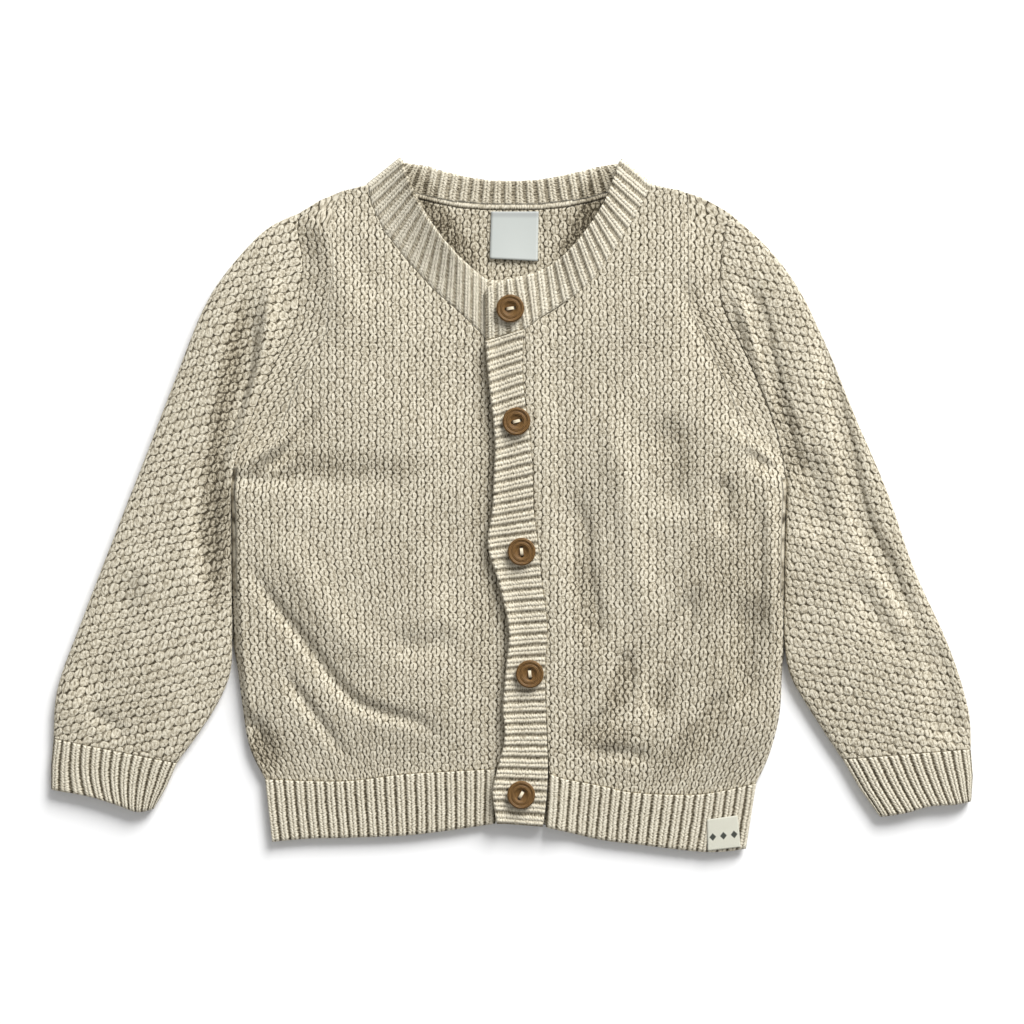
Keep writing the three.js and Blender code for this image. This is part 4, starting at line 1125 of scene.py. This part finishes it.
# Painted shade: soft spots where the cloth is darker, for the shade in folds, beside the bands, under the arms and
# between sleeve and body: x, y, half width, half height, lean, how much
BODY_PAINTED_SHADE = [
    (-120.5, 48, 11, 17, 0, 0.2),
    (-14, 156, 9, 130, 0, 0.05),
    (-82, 188, 64, 10, 0, 0.08),
    (-104, 298, 20, 12, 0, 0.06),
    (112, 120, 30, 90, 0, 0.06),
    (62, 70, 55, 50, 0, 0.03),
    (102, 135, 24, 24, 0, 0.04),
    (113, 94, 11, 28, 0, 0.04),
    (88, 53, 14, 20, 0.6, 0.1),
    (52, 77, 8, 20, 0.3, 0.14),
    (43, 55, 20, 9, 0, 0.14),
    (35.5, 123, 9, 38, -0.05, 0.1),
    (77, 192, 15, 22, 0, 0.06),
    (74, 77, 6, 14, 0, 0.1),
    (98, 250, 9, 34, -0.45, 0.07),
]
# Painted shade on the sleeves where the body and armhole shade them, inside the neck opening, and at the neckband's
# corners
RIGHT_SLEEVE_PAINTED_SHADE = [(-144.5, 158, 10, 52, 0, 0.22), (-138, 228, 8, 52, 0.2, 0.2)]
LEFT_SLEEVE_PAINTED_SHADE = [(136, 200, 8, 40, -0.25, 0.12)]
INSIDE_PAINTED_SHADE = [(-38, 308, 13, 34, -0.7, 0.22), (40, 310, 12, 30, 0.6, 0.26)]
NECK_PAINTED_SHADE = [(-44, 323, 9, 16, -0.5, 0.24), (41, 323, 9, 16, 0.5, 0.24), (0, 319, 58, 16, 0, 0.13)]


def moss_material(name, shade, painted_shade_spots, loop, edge, gap):
    side_weight, along_weight, slant = loop
    return knit_material(
        name, moss_pattern, yarn, painted_shade, shade, 0.6, painted_shade_spots,
        Side=side_weight, Along=along_weight, Slant=slant, Edge=edge, Gap=gap,
    )


def rib_material(name, shade, depth, painted_shade_spots, crest, floor):
    return knit_material(name, rib_pattern, yarn, painted_shade, shade, depth, painted_shade_spots, Crest=crest, Floor=floor)


moss_knit = moss_material("knit moss", 0.2, BODY_PAINTED_SHADE, BODY_LOOP, 0.6, 0.62)
# A darker copy of the moss knit for the back seen in the neck opening: partly the inner face of the cloth, partly
# painted shade inside the garment
shaded_inside_knit = moss_material("knit moss inside shaded", 0.26, INSIDE_PAINTED_SHADE, BODY_LOOP, 0.6, 0.5)
right_sleeve_knit = moss_material(
    "knit moss right sleeve", 0.18, RIGHT_SLEEVE_PAINTED_SHADE, RIGHT_SLEEVE_LOOP, 0.5, 0.35,
)
left_sleeve_knit = moss_material(
    "knit moss left sleeve", 0.19, LEFT_SLEEVE_PAINTED_SHADE, LEFT_SLEEVE_LOOP, 0.5, 0.35,
)
rib_knit = rib_material("knit rib", 0.05, 0.7, [], HEM_CREST, 0)
band_knit = rib_material("knit band rib", 0.11, 0.38, [], HEM_CREST, 0)
neck_knit = rib_material("knit neck rib", 0.03, 0.44, NECK_PAINTED_SHADE, NECK_CREST, 0.1)
wood = wood_material()
thread = thread_material()
satin = satin_material()
woven = woven_material()


def everywhere(x, y):
    return np.ones_like(x)


def flat_level(level):
    return lambda x, y: np.full_like(x, level)


right_edge = front_edge_of(RIGHT_FRONT, BAND_LEFT, 1.5, neck_seam(1, 9))
left_edge = front_edge_of(LEFT_FRONT, BAND_RIGHT, SEAM_GAP, neck_seam(22, 31))
right_plan = panel_plan(side_of(RIGHT_FRONT, SIDE_REACH), right_edge, evened(RIGHT_HEM_LINE), RIGHT_SHOULDER)
left_plan = panel_plan(side_of(LEFT_FRONT, SIDE_REACH), left_edge, evened(LEFT_HEM_LINE), LEFT_SHOULDER)
back_plan = panel_plan(side_of(RIGHT_FRONT, BACK_REACH), side_of(LEFT_FRONT, BACK_REACH), BACK_HEM_LINE, BACK_TOP)


def back_mesh(name):
    """The back: finely made where the neck opening shows it, plain elsewhere."""
    over_stops = np.concatenate([np.linspace(0, 0.26, 12), np.linspace(0.27, 0.74, 168), np.linspace(0.75, 1, 12)])
    along_stops = np.concatenate([np.linspace(0, 0.8, 50), np.linspace(0.806, 1, 96)])
    rows = len(along_stops) - 1
    over = np.concatenate([over_stops, np.linspace(1, 0, 21), [0]])
    face = np.concatenate([np.ones(len(over_stops)), -np.ones(21), [1]])

    def place(column, row):
        share = over[column]
        along = along_stops[row]
        spots = back_plan(share, along)
        x = spots[:, 0]
        y = spots[:, 1]
        wale = x / BODY_STITCH[0] + 0.2 * waver(x, y, 8)
        course = y / BODY_STITCH[1] + 0.25 * waver(x, y, 9)
        stitches = np.stack([wale + 400, course + 400], axis=-1)
        top = face[column] > 0
        fine = smooth(262, 270, y) * smooth(62, 56, np.abs(x))
        distance = np.minimum(np.minimum(share, 1 - share) * 240, np.minimum(along, 1 - along) * 285)
        relief = MOSS_RELIEF * (moss(stitches, 3, BODY_LOOP) - 0.5) * fine * smooth(0, 2, distance)
        z = np.where(top, THICKNESS + relief - edge_fall(distance, SEAM_DROP), 0)
        return np.stack([x, y, z], axis=-1), stitches

    mesh = placed_mesh(name, len(over) - 1, rows, place)
    close_mesh(mesh, True)
    return mesh


def plain_strip(name, first_edge, second_edge, level, rows):
    """A covered ribbed strip, its ribs left to the material."""

    def shape(over, face, along):
        spots = mix(through(first_edge, along), through(second_edge, along), over[:, None])
        width = np.hypot(*(through(first_edge, along) - through(second_edge, along)).T)
        distance = np.minimum(over, 1 - over) * width
        z = np.where(face > 0, level + THICKNESS - edge_fall(distance, SEAM_DROP), level)
        stitches = np.stack([along * rows / 2, over * width / RIB_STITCH], axis=-1)
        return np.stack([spots[:, 0], spots[:, 1], z], axis=-1), stitches

    return strip(name, 12, 4, rows, shape)


def band_level(x, y):
    """The buttonhole band, its free edge standing a little up."""
    inside = x - across_at(BAND_LEFT, y)
    return OVERLAP_LEVEL + BAND_STAND * np.exp(-((inside / 3) ** 2))


def hem_relief(x, y):
    """A hem's ribs end where the band above covers it."""
    return np.where((x < 0) & (x > across_at(BAND_LEFT, y) - 0.3), 0, 1)


def lowered(line, distance):
    return np.asarray(line) - (0, distance)


def shifted(line, distance):
    return np.asarray(line) + (distance, 0)


back = piece("back", back_mesh("back"), shaded_inside_knit, "knit_moss", "back_panel")
right_front = piece(
    "right_front_knit",
    front_mesh("right_front_knit", RIGHT_FRONT, right_plan, RIGHT_HEM_LINE, RIGHT_FRONT_FOLDS, False, 0, 33),
    moss_knit, "knit_moss", "right_front",
)
left_front = piece(
    "left_front_knit",
    front_mesh("left_front_knit", LEFT_FRONT, left_plan, LEFT_HEM_LINE, LEFT_FRONT_FOLDS, True, 1, 31),
    moss_knit, "knit_moss", "left_front",
)
right_sleeve = piece(
    "right_sleeve_knit",
    sleeve_mesh(
        "right_sleeve_knit", RIGHT_SLEEVE, armhole_of(RIGHT_FRONT, -1), RIGHT_SLEEVE_FOLDS,
        RIGHT_SLEEVE_STITCH, RIGHT_SLEEVE_LOOP, -1,
    ),
    right_sleeve_knit, "knit_moss", "right_sleeve",
)
left_sleeve = piece(
    "left_sleeve_knit",
    sleeve_mesh(
        "left_sleeve_knit", LEFT_SLEEVE, armhole_of(LEFT_FRONT, 1), LEFT_SLEEVE_FOLDS,
        LEFT_SLEEVE_STITCH, LEFT_SLEEVE_LOOP, 1,
    ),
    left_sleeve_knit, "knit_moss", "left_sleeve",
)
right_cuff = piece(
    "right_cuff_rib", cuff_mesh("right_cuff_rib", RIGHT_CUFF, RIGHT_CUFF_EDGE, -1),
    rib_knit, "knit_rib", "right_cuff",
)
left_cuff = piece(
    "left_cuff_rib", cuff_mesh("left_cuff_rib", LEFT_CUFF, LEFT_CUFF_EDGE, 1),
    rib_knit, "knit_rib", "left_cuff",
)
back_hem = piece(
    "back_hem", plain_strip("back_hem", lowered(BACK_HEM_LINE, SEAM_GAP), BACK_HEM_EDGE, 0, 94),
    rib_knit, "knit_rib", "back_hem_rib",
)
right_hem = piece(
    "right_hem",
    ribbed_mesh(
        "right_hem", lowered(evened(RIGHT_HEM_LINE), SEAM_GAP), evened(RIGHT_HEM_EDGE), HEM_RIBS_RIGHT,
        flat_level(FRONT_LEVEL), hem_relief, (HEM_DROP, FREE_DROP, FREE_DROP),
    ),
    rib_knit, "knit_rib", "right_front_hem_rib",
)
left_hem = piece(
    "left_hem",
    ribbed_mesh(
        "left_hem", lowered(evened(LEFT_HEM_LINE), SEAM_GAP), evened(LEFT_HEM_EDGE), HEM_RIBS_LEFT,
        lambda x, y: FRONT_LEVEL + lift(x, y), everywhere, (HEM_DROP, FREE_DROP, FREE_DROP),
    ),
    rib_knit, "knit_rib", "left_front_hem_rib",
)
neckband = piece("neckband_rib", neckband_mesh("neckband_rib"), neck_knit, "knit_rib", "neckband")
under_band = piece(
    "button_band_rib",
    plain_strip("button_band_rib", shifted(BAND_LEFT, 2.2), shifted(BAND_RIGHT, -0.6), FRONT_LEVEL, 88),
    rib_knit, "knit_rib", "button_band",
)
top_band = piece(
    "buttonhole_band_rib",
    ribbed_mesh(
        "buttonhole_band_rib", evened(BAND_LEFT), evened(BAND_RIGHT), BAND_RIBS,
        band_level, everywhere, (FREE_DROP, SEAM_DROP, FREE_DROP),
    ),
    band_knit, "knit_rib", "buttonhole_band",
)


def button_piece(index, x, y, turn):
    """A turned wooden button with a dished middle and two holes."""
    radius = BUTTON_RADIUS
    thick = BUTTON_THICKNESS
    profile = [
        (0.02, 0), (0.8, 0), (0.95, 0.12), (1, 0.38), (1, 0.6), (0.97, 0.86), (0.92, 1.0), (0.85, 1.0),
        (0.79, 0.84), (0.74, 0.82), (0.68, 0.9), (0.56, 0.92), (0.48, 0.84), (0.42, 0.62), (0.34, 0.54), (0.02, 0.52),
    ]
    bm = bmesh.new()
    ring = [bm.verts.new((share * radius * MM, 0, up * thick * MM)) for share, up in profile]
    edges = [bm.edges.new(pair) for pair in zip(ring, ring[1:])]
    bmesh.ops.spin(bm, geom=ring + edges, angle=2 * math.pi, steps=64, axis=(0, 0, 1), cent=(0, 0, 0), use_merge=True)
    bmesh.ops.remove_doubles(bm, verts=bm.verts, dist=1e-7)
    bmesh.ops.holes_fill(bm, edges=[edge for edge in bm.edges if edge.is_boundary], sides=0)
    bmesh.ops.recalc_face_normals(bm, faces=bm.faces)
    for face in bm.faces:
        face.smooth = True
    mesh = bpy.data.meshes.new(f"wood_button_{index}")
    bm.to_mesh(mesh)
    bm.free()
    made = piece(f"wood_button_{index}", mesh, wood, "button_wood", f"button_{index}")
    for side in (-1, 1):
        drill = bmesh.new()
        bmesh.ops.create_cone(
            drill, cap_ends=True, segments=24, radius1=BUTTON_HOLE_RADIUS * MM, radius2=BUTTON_HOLE_RADIUS * MM, depth=0.02,
        )
        bmesh.ops.translate(drill, verts=drill.verts, vec=(side * BUTTON_HOLE_SPACING / 2 * MM, 0, 0))
        tool_mesh = bpy.data.meshes.new("drill")
        drill.to_mesh(tool_mesh)
        drill.free()
        tool = bpy.data.objects.new("drill", tool_mesh)
        bpy.context.scene.collection.objects.link(tool)
        cut = made.modifiers.new("hole", "BOOLEAN")
        cut.object = tool
        cut.operation = "DIFFERENCE"
        cut.solver = "EXACT"
        bpy.context.view_layer.update()
        shaped = bpy.data.meshes.new_from_object(made.evaluated_get(bpy.context.evaluated_depsgraph_get()))
        made.modifiers.clear()
        made.data = shaped
        bpy.data.objects.remove(tool)
    mesh = made.data
    spots = np.empty(len(mesh.vertices) * 3)
    mesh.vertices.foreach_get("co", spots)
    spots = spots.reshape(-1, 3)
    corners = np.empty(len(mesh.loops), dtype=int)
    mesh.loops.foreach_get("vertex_index", corners)
    layer = mesh.uv_layers.new(name="knit")
    layer.data.foreach_set("uv", (spots[corners][:, :2] / MM).ravel())
    angle = math.radians(turn)
    turned = spots.copy()
    turned[:, 0] = spots[:, 0] * math.cos(angle) - spots[:, 1] * math.sin(angle)
    turned[:, 1] = spots[:, 0] * math.sin(angle) + spots[:, 1] * math.cos(angle)
    turned += (np.array([x, y, BUTTON_LEVEL]) + OFFSET) * MM
    mesh.vertices.foreach_set("co", turned.ravel())
    mesh.update()
    return made


def thread_piece(places):
    """The threads that hold the buttons: three strands from hole to hole on each."""
    curve = bpy.data.curves.new("button_threads", "CURVE")
    curve.dimensions = "3D"
    curve.bevel_depth = 0.3 * MM
    curve.bevel_resolution = 3
    curve.resolution_u = 8
    for x, y, turn in places:
        angle = math.radians(turn)
        for shift in (-0.45, 0, 0.45):
            spline = curve.splines.new("NURBS")
            spline.points.add(4)
            spline.use_endpoint_u = True
            spline.order_u = 3
            for point, (reach, up) in zip(spline.points, ((-0.95, 0.2), (-0.9, 0.62), (0, 0.84), (0.9, 0.62), (0.95, 0.2))):
                along = reach * BUTTON_HOLE_SPACING / 2
                px = x + along * math.cos(angle) - shift * math.sin(angle)
                py = y + along * math.sin(angle) + shift * math.cos(angle)
                place = (np.array([px, py, BUTTON_LEVEL + up * BUTTON_THICKNESS]) + OFFSET) * MM
                point.co = (*place, 1)
    made = bpy.data.objects.new("button_threads", curve)
    bpy.context.scene.collection.objects.link(made)
    curve.materials.append(thread)
    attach(made, "root")
    return made


def label_mesh(name, corners, level, lift_at):
    corners = np.asarray(corners, float)

    def shape(over, face, along):
        top = mix(corners[0], corners[1], over[:, None])
        foot = mix(corners[3], corners[2], over[:, None])
        spots = mix(top, foot, along[:, None])
        z = level + lift_at(over, along) + np.where(face > 0, LABEL_THICKNESS, 0)
        return np.concatenate([spots, z[:, None]], axis=-1), np.stack([over, 1 - along], axis=-1)

    return strip(name, 20, 4, 24, shape)


for index, (x, y, turn) in enumerate(BUTTONS, 1):
    button_piece(index, x, y, turn)
thread_piece(BUTTONS)
neck_label = piece(
    "neck_label_satin",
    label_mesh("neck_label_satin", NECK_LABEL, THICKNESS + 0.4, lambda over, along: 0.9 * along**2 + 0.2 * np.sin(over * 5) * along),
    satin, "label_satin", "neck_label",
)
hem_label = piece(
    "hem_label_tape",
    label_mesh("hem_label_tape", HEM_LABEL, FRONT_LEVEL + THICKNESS + RIB_RELIEF + 0.05, lambda over, along: 0.1 * np.sin(over * 3)),
    woven, "label_woven", "hem_label",
)

# The white floor, the light from the top right, and the camera straight above
bm = bmesh.new()
bmesh.ops.create_grid(bm, x_segments=1, y_segments=1, size=2)
floor_mesh = bpy.data.meshes.new("Floor")
bm.to_mesh(floor_mesh)
bm.free()
floor = bpy.data.objects.new("Floor", floor_mesh)
bpy.context.scene.collection.objects.link(floor)
floor_material, floor_tree, floor_shader = new_material("white floor", 0.9)
floor_shader.inputs["Base Color"].default_value = (0.92, 0.92, 0.92, 1)
floor_shader.inputs["Specular IOR Level"].default_value = 0
floor_mesh.materials.append(floor_material)


def area_light(name, place, size, power):
    data = bpy.data.lights.new(name, "AREA")
    data.size = size
    data.energy = power
    light = bpy.data.objects.new(name, data)
    light.location = place
    light.rotation_euler = (-Vector(place)).to_track_quat("-Z", "Y").to_euler()
    bpy.context.scene.collection.objects.link(light)
    return light


area_light("key", (1.55, 2.85, 2.2), 2.1, 256)

world = bpy.data.worlds.new("studio")
world.use_nodes = True
world.node_tree.nodes["Background"].inputs["Color"].default_value = (1, 1, 1, 1)
world.node_tree.nodes["Background"].inputs["Strength"].default_value = 0.43
bpy.context.scene.world = world
bpy.context.scene.view_settings.view_transform = "Standard"

camera_data = bpy.data.cameras.new("camera")
camera_data.lens = 100
camera_data.sensor_width = 36
camera = bpy.data.objects.new("camera", camera_data)
camera.location = (0, -0.0034, 0.4997 * 100 / 36 + 0.006)
bpy.context.scene.collection.objects.link(camera)
bpy.context.scene.camera = camera
